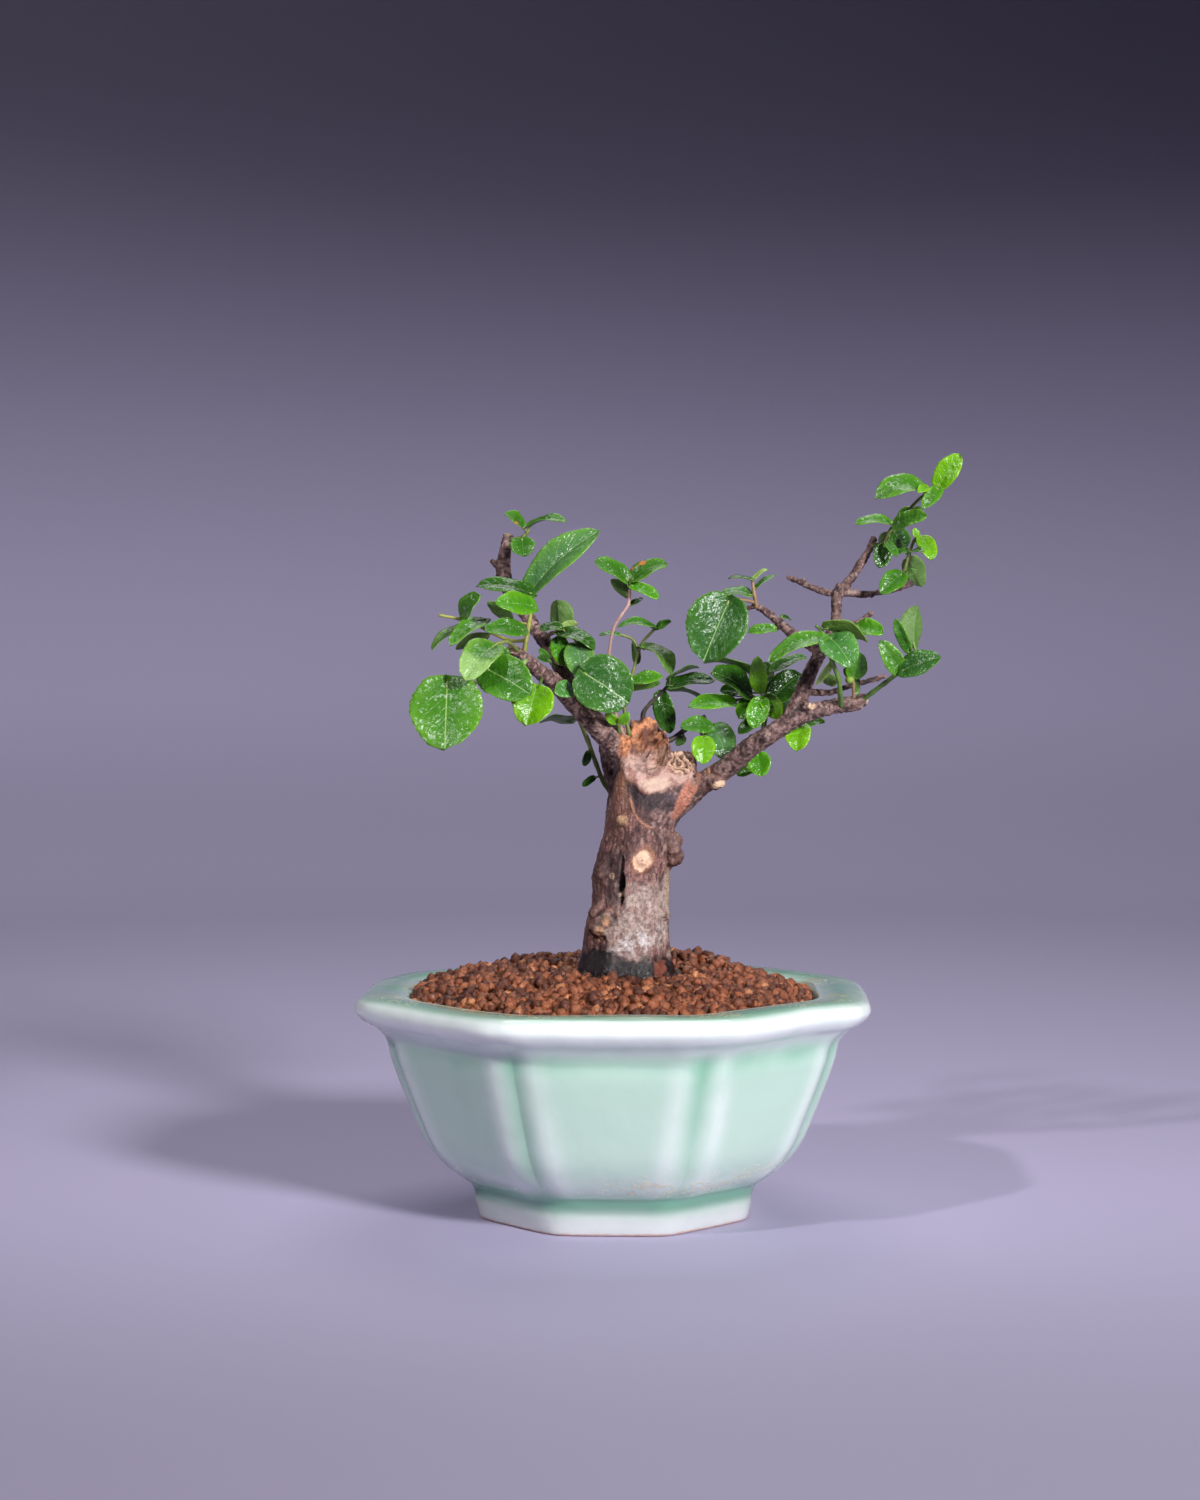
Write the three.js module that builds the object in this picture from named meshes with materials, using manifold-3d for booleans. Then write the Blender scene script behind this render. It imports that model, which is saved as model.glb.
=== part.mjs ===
// A sweet plum bonsai (Sageretia) in its octagonal celadon pot, in millimetres, +Z up.
// The pot's foot stands on z = 0 and the origin is the middle of the whole object's footprint.
// Every place of the plant is listed as it looks from the front on the plane through the pot's axis,
// with its depth, and is moved out along the line of sight to that depth.

import * as THREE from 'three';
import { mergeVertices } from 'three/addons/utils/BufferGeometryUtils.js';
import Module from 'manifold-3d';

const wasm = await Module();
wasm.setup();

// Driving sizes of the pot
const POT_SIDES = 8;
const POT_YAW = -2;
const LIP_APOTHEM = 75;
const RIM_HEIGHT = 66.3;
const FOOT_APOTHEM = 40.2;
const FOOT_HEIGHT = 10;
const FLOOR_HEIGHT = 14;
const FOOT_RECESS = 6;
const FOOT_INNER = 33.5;
const DRAIN_RADIUS = 6;
const RIDGE_OFFSET = 5.7;
const CREASE_DEPTH = 1.7;
const SCREEN_SIDE = 24;
const SCREEN_THICK = 1.2;
const SCREEN_HOLES = 3;

// Driving sizes of the plant
const TRUNK_AXIS = 9;
const CROWN_OPENS = 8;
const CROWN_OPEN = 38;
const CROWN_SPREAD = 1.1;
const BLADE_THICK = 0.72;
const STALK_HALF = 0.42;
const TIP_HALF = 0.4;
const CLEARANCE = 0.3;
const SOIL_EDGE_HEIGHT = 63.6;
const SOIL_RISE = 6.4;
const GRAIN_RELIEF = 0.9;
const SLIVER = 0.01;

// The point from which the places of the plant are listed
const EYE = new THREE.Vector3(-4.3, -750, 156);

// Small maths

const DEGREE = Math.PI / 180;

function sightLine([x, y, z]) {
  const stretch = (y - EYE.y) / -EYE.y;
  return new THREE.Vector3(EYE.x + (x - EYE.x) * stretch, y, EYE.z + (z - EYE.z) * stretch);
}

// The listed depths open out away from the trunk, as the crown does
function inDepth([x, y, z]) {
  const open = smoothRamp(CROWN_OPENS, CROWN_OPEN, Math.abs(x - TRUNK_AXIS));
  return sightLine([x, y * (1 + CROWN_SPREAD * open), z]);
}

function smoothRamp(low, high, value) {
  return THREE.MathUtils.smoothstep(value, low, high);
}

function scatter(seed) {
  const wave = Math.sin(seed * 12.9898 + 78.233) * 43758.5453;
  return wave - Math.floor(wave);
}

// Solids from points and triangles

function signedVolume(points, triangles) {
  let volume = 0;
  for (const [a, b, c] of triangles) {
    volume += points[a].dot(new THREE.Vector3().crossVectors(points[b], points[c]));
  }
  return volume / 6;
}

function solidOf(points, triangles) {
  const outward = signedVolume(points, triangles) > 0;
  const vertProperties = new Float32Array(points.flatMap((p) => p.toArray()));
  const order = triangles.flatMap(([a, b, c]) => (outward ? [a, b, c] : [a, c, b]));
  return new wasm.Manifold(new wasm.Mesh({ numProp: 3, vertProperties, triVerts: new Uint32Array(order) }));
}

function solidOfGeometry(geometry) {
  const bare = geometry.index ? geometry.toNonIndexed() : geometry.clone();
  bare.deleteAttribute('normal');
  bare.deleteAttribute('uv');
  const merged = mergeVertices(bare, 1e-4);
  const vertProperties = new Float32Array(merged.attributes.position.array);
  const triVerts = new Uint32Array(merged.index.array);
  return new wasm.Manifold(new wasm.Mesh({ numProp: 3, vertProperties, triVerts }));
}

function joinRings(count, ringA, ringB, triangles) {
  for (let i = 0; i < count; i += 1) {
    const j = (i + 1) % count;
    triangles.push([ringA * count + i, ringA * count + j, ringB * count + j]);
    triangles.push([ringA * count + i, ringB * count + j, ringB * count + i]);
  }
}

// A skin over a row of rings with the same number of points, closed flat at both ends.
function cappedSkin(rings) {
  const count = rings[0].length;
  const points = rings.flat();
  const triangles = [];
  for (let ring = 0; ring + 1 < rings.length; ring += 1) {
    joinRings(count, ring, ring + 1, triangles);
  }
  const top = (rings.length - 1) * count;
  let low = 0;
  let high = count - 1;
  while (high - low > 1) {
    triangles.push([low, high, low + 1], [top + low, top + low + 1, top + high]);
    low += 1;
    if (high - low > 1) {
      triangles.push([low, high, high - 1], [top + low, top + high - 1, top + high]);
      high -= 1;
    }
  }
  return solidOf(points, triangles);
}

// A skin over a closed loop of rings, for a body with a hole through it.
function loopedSkin(rings) {
  const triangles = [];
  rings.forEach((ring, index) => joinRings(ring.length, index, (index + 1) % rings.length, triangles));
  return solidOf(rings.flat(), triangles);
}

function fuse(solids) {
  return wasm.Manifold.union(solids);
}

function largestBody(solid) {
  const bodies = solid.decompose();
  bodies.sort((a, b) => b.volume() - a.volume());
  return bodies[0];
}

function nodeOf(name, solid, material) {
  const { vertProperties, triVerts } = largestBody(solid.simplify(SLIVER)).getMesh();
  const geometry = new THREE.BufferGeometry();
  geometry.setAttribute('position', new THREE.BufferAttribute(vertProperties.slice(), 3));
  geometry.setIndex(new THREE.BufferAttribute(triVerts.slice(), 1));
  geometry.computeVertexNormals();
  const mesh = new THREE.Mesh(geometry, material);
  mesh.name = name;
  return mesh;
}

// Materials

function material(color, roughness, metalness = 0) {
  return new THREE.MeshStandardMaterial({ color, roughness, metalness });
}

const celadon = material(0xa9cdbd, 0.2);
const screenPlastic = material(0x2a2c2b, 0.6);
const bakedClay = material(0x70401f, 0.75);
const bark = material(0x5c4238, 0.8);
const leafGreen = material(0x4c8f24, 0.35);
const darkGreen = material(0x35701c, 0.35);
const limeGreen = material(0x86b51c, 0.35);

// The pot: octagonal rings over one profile, with a crease between two soft ridges at each corner

// One octagonal ring: crease is 0 for a plain corner and 1 for the full crease, bulge pushes the panels out.
function octagonRing(apothem, z, crease = 0, bulge = 0) {
  const half = apothem * Math.tan(Math.PI / POT_SIDES);
  const ridge = Math.max(half - RIDGE_OFFSET, half * 0.55);
  const points = [];
  for (let side = 0; side < POT_SIDES; side += 1) {
    const angle = (side / POT_SIDES) * 2 * Math.PI + POT_YAW * DEGREE;
    const out = new THREE.Vector3(Math.cos(angle), Math.sin(angle), 0);
    const along = new THREE.Vector3(-Math.sin(angle), Math.cos(angle), 0);
    const sunk = 1 - (CREASE_DEPTH * crease) / (apothem / Math.cos(Math.PI / POT_SIDES)) - 0.012;
    const corner = out.clone().multiplyScalar(apothem).addScaledVector(along, -half).multiplyScalar(sunk);
    points.push(corner);
    [[-ridge, 0.2 * bulge], [0, bulge], [ridge, 0.2 * bulge]].forEach(([offset, push]) => {
      points.push(out.clone().multiplyScalar(apothem + push).addScaledVector(along, offset));
    });
  }
  points.forEach((p) => p.setZ(z));
  return points;
}

function roundRing(radius, z) {
  return octagonRing(radius, z).map((p) => {
    const flat = new THREE.Vector3(p.x, p.y, 0).setLength(radius);
    return flat.setZ(z);
  });
}

// Outer face from the foot up: apothem, height, crease, bulge
const OUTER_PROFILE = [
  [FOOT_APOTHEM - 1.2, 0, 0, 0],
  [FOOT_APOTHEM - 0.2, 0.8, 0, 0],
  [FOOT_APOTHEM + 0.6, 4.5, 0.1, 0.1],
  [FOOT_APOTHEM + 1.0, FOOT_HEIGHT - 1.6, 0.15, 0.1],
  [FOOT_APOTHEM + 3, FOOT_HEIGHT + 0.8, 0.3, 0.3],
  [46.7, 13.2, 0.55, 0.5],
  [52.4, 19, 0.9, 0.7],
  [55.9, 25, 1, 0.8],
  [59.1, 33, 1, 0.9],
  [62.1, 41, 1, 0.9],
  [64.5, 48, 0.95, 0.8],
  [66.1, 53.6, 0.8, 0.5],
  [69.2, 57.2, 0.5, 0.2],
  [73, 59.6, 0.35, 0],
  [LIP_APOTHEM, 62.4, 0.3, 0],
  [LIP_APOTHEM - 0.4, 65, 0.3, 0],
  [LIP_APOTHEM - 2.2, RIM_HEIGHT, 0.3, 0],
];

// Inner face from the rim down: apothem, height
const INNER_PROFILE = [
  [61.6, 66],
  [60, 64.4],
  [57.6, 50],
  [49.8, 30],
  [41.5, 18.4],
  [34, 14.4],
];


function potSolid() {
  const rings = [
    ...OUTER_PROFILE.map(([apothem, z, crease, bulge]) => octagonRing(apothem, z, crease, bulge)),
    ...INNER_PROFILE.map(([apothem, z]) => octagonRing(apothem, z)),
    roundRing(DRAIN_RADIUS + 0.8, FLOOR_HEIGHT),
    roundRing(DRAIN_RADIUS, FLOOR_HEIGHT - 0.8),
    roundRing(DRAIN_RADIUS, FOOT_RECESS),
    octagonRing(FOOT_INNER - 1, FOOT_RECESS),
    octagonRing(FOOT_INNER, FOOT_RECESS - 1),
    octagonRing(FOOT_INNER + 0.6, 0),
  ];
  return loopedSkin(rings);
}

// The drain screen: a square plate with a grid of square holes, lying on the pot's floor
function screenSolid() {
  const level = FLOOR_HEIGHT + CLEARANCE + SCREEN_THICK / 2;
  const pitch = SCREEN_SIDE / (SCREEN_HOLES + 0.5);
  const hole = pitch * 0.7;
  const block = (side, tall, x, y) => (
    solidOfGeometry(new THREE.BoxGeometry(side, side, tall).translate(x, y, level)));
  const holes = [];
  for (let i = 0; i < SCREEN_HOLES; i += 1) {
    for (let j = 0; j < SCREEN_HOLES; j += 1) {
      const x = (i - (SCREEN_HOLES - 1) / 2) * pitch;
      const y = (j - (SCREEN_HOLES - 1) / 2) * pitch;
      holes.push(block(hole, SCREEN_THICK * 2, x, y));
    }
  }
  return block(SCREEN_SIDE, SCREEN_THICK, 0, 0).subtract(fuse(holes));
}

// The soil: it fills the pot, and its top is a mound with a granular relief

// Rises of the mound: middle x, y, height and spread
const MOUND_BUMPS = [
  [24, 20, 4, 9],
  [-10, 26, 2, 14],
];

function moundHeight(x, y) {
  const edge = 60;
  const reach = Math.min(Math.hypot(x, y) / edge, 1);
  const dome = SOIL_EDGE_HEIGHT + SOIL_RISE * (1 - reach ** 4) + y / edge - x / edge;
  return MOUND_BUMPS.reduce((height, [bx, by, rise, spread]) => {
    const away = (x - bx) ** 2 + (y - by) ** 2;
    return height + rise * Math.exp(-away / (2 * spread * spread));
  }, dome);
}

function soilSolid() {
  const around = 48;
  const ringCount = 9;
  const inside = INNER_PROFILE.slice(1).reverse();
  const outline = (apothem) => {
    const points = [];
    for (let i = 0; i < around; i += 1) {
      const angle = (i / around) * 2 * Math.PI + POT_YAW * DEGREE;
      const sector = (2 * Math.PI) / POT_SIDES;
      const within = ((((angle - POT_YAW * DEGREE) % sector) + sector * 1.5) % sector) - sector / 2;
      const reach = Math.min(apothem / Math.cos(within), apothem * 1.065);
      points.push(new THREE.Vector3(Math.cos(angle) * reach, Math.sin(angle) * reach, 0));
    }
    return points;
  };
  const rings = inside.map(([apothem, z], index) => {
    const level = index === 0 ? FLOOR_HEIGHT + SCREEN_THICK + 2 * CLEARANCE : z;
    return outline(apothem - CLEARANCE - 0.3).map((p) => p.setZ(level));
  });
  rings.pop();
  for (let ring = 0; ring < ringCount; ring += 1) {
    const share = 1 - ring / ringCount;
    const apothem = (INNER_PROFILE[1][0] - CLEARANCE - 0.7) * share;
    rings.push(outline(apothem).map((p, i) => {
      const seed = ring * 131 + i * 7;
      const jog = ring === 0 ? 0 : 0.9;
      const x = p.x + (scatter(seed) - 0.5) * 2 * jog * share;
      const y = p.y + (scatter(seed + 1) - 0.5) * 2 * jog * share;
      const relief = ring === 0 ? -0.4 : (scatter(seed + 2) - 0.5) * 2 * GRAIN_RELIEF;
      return new THREE.Vector3(x, y, moundHeight(x, y) + relief);
    }));
  }
  return cappedSkin(rings);
}

// The wood: trunk, stumps, limbs and twigs

// Trunk from its buried end up: height, left, right, front, back
const TRUNK_SECTIONS = [
  [48, -7, 14, -10, 11],
  [56, -11.5, 18.5, -14, 14],
  [64, -13.2, 20.2, -15.5, 15.5],
  [70, -12.2, 19, -14.6, 14.8],
  [76.1, -10.3, 17.2, -13, 13.4],
  [81.8, -9.1, 16.6, -12.3, 12.8],
  [86.9, -8.2, 16.6, -12, 12.4],
  [93.7, -6.7, 16.6, -11.5, 12],
  [100.6, -6.5, 16.9, -11.2, 11.6],
  [106.6, -4.9, 17.6, -11, 11.2],
  [113.5, -3.1, 18.1, -11, 11],
  [118, -2.6, 20, -11, 10.8],
  [123, -2, 23.2, -11, 10.4],
  [128, -1, 24.7, -10.5, 10],
  [133, 0.2, 24.5, -9.6, 9.5],
  [137, 0.9, 24.3, -8.6, 9],
];

// The taller sawn stump on the trunk's left: height, left, right, front, back
const STUMP_SECTIONS = [
  [118, 0.5, 16, -8, 9],
  [128, 0.6, 16.6, -8.6, 9],
  [138, 1.4, 16.8, -8.4, 8.8],
  [143, 2, 15.8, -8, 8.4],
  [146.6, 3.2, 13.8, -6.5, 7.6],
];

// Limbs and twigs: places with their radius
const LIMBS = {
  leftLimb: [
    [4.2, 3, 134.6, 4.2], [0.8, 1, 139.8, 4.2], [-2.8, 0, 142.8, 3.9], [-7.3, -0.5, 147.3, 3.4],
    [-11.8, -1, 151.7, 3.1], [-14.8, -1.5, 155, 2.9], [-18.7, -3, 158.6, 2.5], [-22.2, -4.5, 161, 2.2],
    [-25.2, -6, 163.8, 1.9], [-28.2, -7, 166.1, 1.7], [-31.5, -8, 168.2, 1.6],
  ],
  leftUpright: [
    [-12.6, -0.5, 154.5, 2.5], [-16.3, 1.5, 163.1, 2.4], [-19.2, 3.5, 167.6, 2.2], [-21.5, 5, 171, 2.1],
    [-24, 6.5, 174.5, 2], [-27, 7.5, 179, 2.1], [-31, 8, 185, 2.3], [-32.9, 8, 189, 2.4],
    [-33, 8, 193.5, 2.1], [-32.4, 7.5, 198, 1.8], [-31.6, 7, 202.2, 1.7],
  ],
  leftSpur: [[-33, 8, 189.8, 1.2], [-35, 8, 192.5, 0.95], [-36.9, 8, 194.5, 0.75]],
  rightLimb: [
    [15, -1, 119, 4.6], [21, -3, 123.5, 4], [25.6, -4, 127.2, 3.5], [30, -5, 129.9, 3.2],
    [35.5, -6, 134, 3.1], [40.5, -6.5, 138.4, 3], [46.5, -7, 142.3, 2.8], [51, -7, 145.3, 2.7],
    [55.5, -7, 147.7, 2.6], [60, -6.5, 149.3, 2.4], [64.5, -6, 150.5, 2.3], [69, -6, 151.2, 2.2],
    [73.7, -6, 151.8, 2.2],
  ],
  rightUpright: [
    [52, -7, 146, 2.6], [55, -7, 152, 2.5], [57.6, -6.8, 158.5, 2.2], [60.4, -6.5, 164.6, 2],
    [62.7, -6, 168.7, 1.8], [65, -5.5, 173.5, 1.6], [66.2, -5, 177.2, 1.5], [66.4, -4.5, 182.6, 1.6],
    [67.6, -4, 187, 1.5],
  ],
  topLeftTwig: [
    [66.6, -4, 184, 1.1], [62, -3.5, 185.2, 1], [58, -3, 186.6, 0.9], [54.5, -2, 188.3, 0.85],
    [51.6, -1.5, 189.4, 0.85],
  ],
  topLeftBud: [[56, -2.5, 187.3, 0.8], [56.9, -2.7, 189, 0.6]],
  topRightTwig: [
    [67, -4, 184.8, 1.6], [70.6, -4, 188.8, 1.35], [73.4, -3.5, 193, 1.2], [75.8, -3, 197, 1.1],
    [77.6, -3, 201.3, 1.05],
  ],
  topEastTwig: [
    [67.2, -4, 184.9, 1.3], [74.9, -3, 184.2, 1.15], [80, -2.5, 184.9, 1], [84.5, -2, 186, 0.95],
    [89.2, -2, 187.7, 0.95],
  ],
  middleTwig: [
    [61.5, -6, 167, 1.7], [58, -6, 169.4, 1.55], [54.3, -5.6, 171.5, 1.5], [49.5, -5, 175.6, 1.35],
    [45.9, -4.6, 178.4, 1.2], [42.6, -4.2, 180.5, 0.95], [39, -4, 179.9, 0.75],
  ],
  middleSpur: [[49, -5, 175, 0.8], [47.9, -5, 173, 0.6]],
  cutTwig: [[65, -5.4, 173.4, 0.95], [72.5, -6, 175.7, 0.8], [77.2, -6, 178.8, 0.75]],
  backTwig: [[57.6, -6.6, 155, 1.1], [64.5, -4, 155, 0.95], [70.4, -2, 156.8, 0.9], [81.2, 1, 159.8, 0.8]],
  backStub: [[4, 5, 120, 2.6], [-0.4, 8, 129, 2.3], [-2.6, 8.4, 138, 2], [-2.6, 5, 145, 1.4]],
};

// Knobs, burls and healed cuts: middle, radius
const KNOBS = [
  [2, -9.6, 117, 1.9],
  [8.2, -10, 105.1, 3.3],
  [-3.2, -5, 101.4, 3.5],
  [-4.6, -8.4, 84.8, 3.4],
  [17.2, -4, 110, 3.1],
  [17.7, -3, 105.6, 3.1],
  [31, -6.8, 127.8, 2],
  [74, -6, 152.6, 2],
];

// The two sawn faces: a point on the face and the way it looks
const STUMP_CUT = { on: [9, -8.4, 130], looks: [-0.08, -0.74, 0.68] };
const CROTCH_CUT = { on: [14, -11, 125.8], looks: [0.08, -0.74, 0.68] };

// The decay hollow in the trunk's front and the knot hole in the lower stump
const HOLLOWS = [
  { middle: [0.8, -11.4, 99.4], size: [2.2, 3, 7] },
  { middle: [19.4, -2.5, 134.6], size: [2.2, 3, 2.2] },
];

function lobedSection([z, left, right, front, back], sides, grow) {
  const points = [];
  const middle = [(left + right) / 2, (front + back) / 2];
  const half = [(right - left) / 2 + grow, (back - front) / 2 + grow];
  for (let i = 0; i < sides; i += 1) {
    const angle = (i / sides) * 2 * Math.PI;
    const furrow = 0.05 * Math.sin(3 * angle + z * 0.06) + 0.035 * Math.sin(7 * angle - z * 0.045);
    const swell = 1 + furrow * Math.abs(Math.sin(angle));
    const x = middle[0] + half[0] * Math.cos(angle) * swell;
    const y = middle[1] + half[1] * Math.sin(angle) * swell;
    points.push(new THREE.Vector3(x, y, z));
  }
  return points;
}

function trunkSolid(sections, sides, grow) {
  const rings = sections.map((section) => lobedSection(section, sides, grow));
  rings[0].forEach((p) => p.setZ(p.z - grow));
  rings[rings.length - 1].forEach((p) => p.setZ(p.z + grow));
  return cappedSkin(rings);
}

// Rings of the given sides round a row of points, turned along the row without twisting.
function ringsAlong(points, radii, sides, roughness = 0) {
  let normal = new THREE.Vector3(0.31, -0.85, 0.42);
  return points.map((centre, index) => {
    const before = points[Math.max(index - 1, 0)];
    const after = points[Math.min(index + 1, points.length - 1)];
    const tangent = after.clone().sub(before).normalize();
    normal = normal.clone().addScaledVector(tangent, -normal.dot(tangent)).normalize();
    const binormal = new THREE.Vector3().crossVectors(tangent, normal);
    const ring = [];
    for (let i = 0; i < sides; i += 1) {
      const angle = (i / sides) * 2 * Math.PI;
      const radius = radii[index] * (1 + roughness * Math.sin(i * 2.4 + index * 1.7));
      ring.push(centre.clone()
        .addScaledVector(normal, Math.cos(angle) * radius)
        .addScaledVector(binormal, Math.sin(angle) * radius));
    }
    return ring;
  });
}

// A branch through listed places; grow thickens it and moves its ends out by as much.
function branchSolid(places, sides, grow = 0, roughness = 0.05) {
  const points = places.map(inDepth);
  const radii = places.map((place) => place[3] + grow);
  const last = points.length - 1;
  const outward = (end, inner) => points[end].clone().sub(points[inner]).setLength(grow);
  if (grow > 0) {
    points[0].add(outward(0, 1));
    points[last].add(outward(last, last - 1));
  }
  return cappedSkin(ringsAlong(points, radii, sides, roughness));
}

function ballSolid(place, size, detail = 1) {
  const geometry = new THREE.IcosahedronGeometry(1, detail);
  geometry.scale(...size);
  const middle = inDepth(place);
  geometry.translate(middle.x, middle.y, middle.z);
  return solidOfGeometry(geometry);
}

// A block whose lower face is the sawn face, standing off it by grow
function sawnOff({ on, looks }, grow) {
  const block = new THREE.BoxGeometry(60, 60, 40);
  block.translate(0, 0, 20 + grow);
  const turn = new THREE.Quaternion();
  turn.setFromUnitVectors(new THREE.Vector3(0, 0, 1), new THREE.Vector3(...looks).normalize());
  block.applyQuaternion(turn);
  const place = inDepth(on);
  block.translate(place.x, place.y, place.z);
  return solidOfGeometry(block);
}

function branchSides(places) {
  return places[0][3] > 1.8 ? 7 : 5;
}

function woodSolid(grow = 0) {
  const base = trunkSolid(TRUNK_SECTIONS, 18, grow).subtract(sawnOff(CROTCH_CUT, grow));
  const stump = trunkSolid(STUMP_SECTIONS, 14, grow).subtract(sawnOff(STUMP_CUT, grow));
  const limbs = Object.values(LIMBS).map((places) => branchSolid(places, branchSides(places), grow));
  const knobs = KNOBS.map(([x, y, z, r]) => (
    ballSolid([x, y, z], [r + grow, r + grow, r + grow], r > 3.2 ? 1 : 0)));
  let wood = fuse([base, stump, ...limbs, ...knobs]);
  HOLLOWS.forEach(({ middle, size }) => {
    wood = wood.subtract(ballSolid(middle, size.map((s) => s - grow)));
  });
  return wood;
}

// Leaves and shoots

// The frame of a leaf at its blade: the way it runs, the way its face looks, and across it
function bladeFrame(base, tip, looks) {
  const along = tip.clone().sub(base).normalize();
  const face = new THREE.Vector3(...looks);
  face.addScaledVector(along, -face.dot(along)).normalize();
  return { along, face, across: new THREE.Vector3().crossVectors(along, face) };
}

// The same frame turned to run another way
function turnedFrame({ face, across }, along) {
  const side = new THREE.Vector3().crossVectors(along, face);
  if (side.length() < 0.4) side.copy(across).addScaledVector(along, -across.dot(along));
  side.normalize();
  return { along, across: side, face: new THREE.Vector3().crossVectors(side, along) };
}

// Six points across a leaf: edge, midrib and edge, on its face and on its back
function leafRing(centre, { along, face, across }, half, rise, lobe, thick) {
  const edge = (side) => centre.clone().addScaledVector(across, side * half)
    .addScaledVector(face, rise * half).addScaledVector(along, -lobe);
  const row = [edge(-1), centre, edge(1)];
  const shifted = (shift) => row.map((p) => p.clone().addScaledVector(face, shift * thick));
  return [...shifted(0.5), ...shifted(-0.5).reverse()];
}

// The place on the stems that the stalk of a leaf leaves from: near, and in line with the blade
function stalkRoot(base, along, stems) {
  const cost = (p) => {
    const run = base.clone().sub(p);
    return run.length() * (2 - run.normalize().dot(along));
  };
  const places = stems.flatMap((stem) => {
    const points = stem.map(inDepth);
    return points.slice(1).flatMap((p, i) => (
      [0.1, 0.4, 0.7, 0.97].map((share) => points[i].clone().lerp(p, share))));
  });
  return places.reduce((best, p) => (cost(p) < cost(best) ? p : best));
}

function bladeStations(length, width) {
  if (width > 13) return 8;
  if (length > 14) return 5;
  return length > 5.5 ? 4 : 3;
}

// One leaf with its stalk: a folded and arched oval with a toothed edge, with the same triangles on
// both faces. It runs from the place of its base to that of its tip. Its face looks the given way,
// arch bows it that way as a share of its length, and fold raises its two halves by so many degrees.
function leafSolid([baseAt, tipAt, width, looks, arch = 0.08, fold = 12], stems) {
  const base = inDepth(baseAt);
  const tip = inDepth(tipAt);
  const length = tip.distanceTo(base);
  const frame = bladeFrame(base, tip, looks);
  const root = stalkRoot(base, frame.along, stems);
  const stalk = base.clone().sub(root);
  const reach = stalk.length();
  const stalkFrame = turnedFrame(frame, stalk.normalize());
  const rings = [leafRing(root, stalkFrame, STALK_HALF * 0.7, 0, 0, BLADE_THICK * 0.7)];
  if (reach > 4.5) {
    const middle = root.clone().lerp(base, 0.55).addScaledVector(frame.along, -0.06 * reach);
    rings.push(leafRing(middle, stalkFrame, STALK_HALF, 0, 0, BLADE_THICK * 0.9));
  }
  if (reach > 2.4) rings.push(leafRing(base, stalkFrame, STALK_HALF, 0, 0, BLADE_THICK));
  const stations = bladeStations(length, width);
  const lift = Math.tan(fold * DEGREE);
  for (let i = 1; i <= stations; i += 1) {
    const share = (i - 0.45) / (stations - 0.45);
    const tooth = i % 2 === 1 ? 1.03 : 0.93;
    const full = Math.sin(Math.PI * Math.min(0.1 + 0.86 * share ** 0.85, 0.96)) ** 0.6;
    const half = (width / 2) * full * tooth;
    const spine = base.clone().addScaledVector(frame.along, length * share)
      .addScaledVector(frame.face, arch * length * 4 * share * (1 - share));
    const lobe = 0.12 * length * (1 - share) ** 3;
    rings.push(leafRing(spine, frame, i === stations ? TIP_HALF : half, lift, lobe, BLADE_THICK));
  }
  return cappedSkin(rings);
}

function shootSolid({ stems, leaves, berries = [] }) {
  const parts = [
    ...stems.map((places) => branchSolid(places, 4, 0, 0)),
    ...leaves.map((leaf) => leafSolid(leaf, stems)),
    ...berries.map(([x, y, z, r]) => ballSolid([x, y, z], [r, r, r], 0)),
  ];
  return fuse(parts);
}

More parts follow.
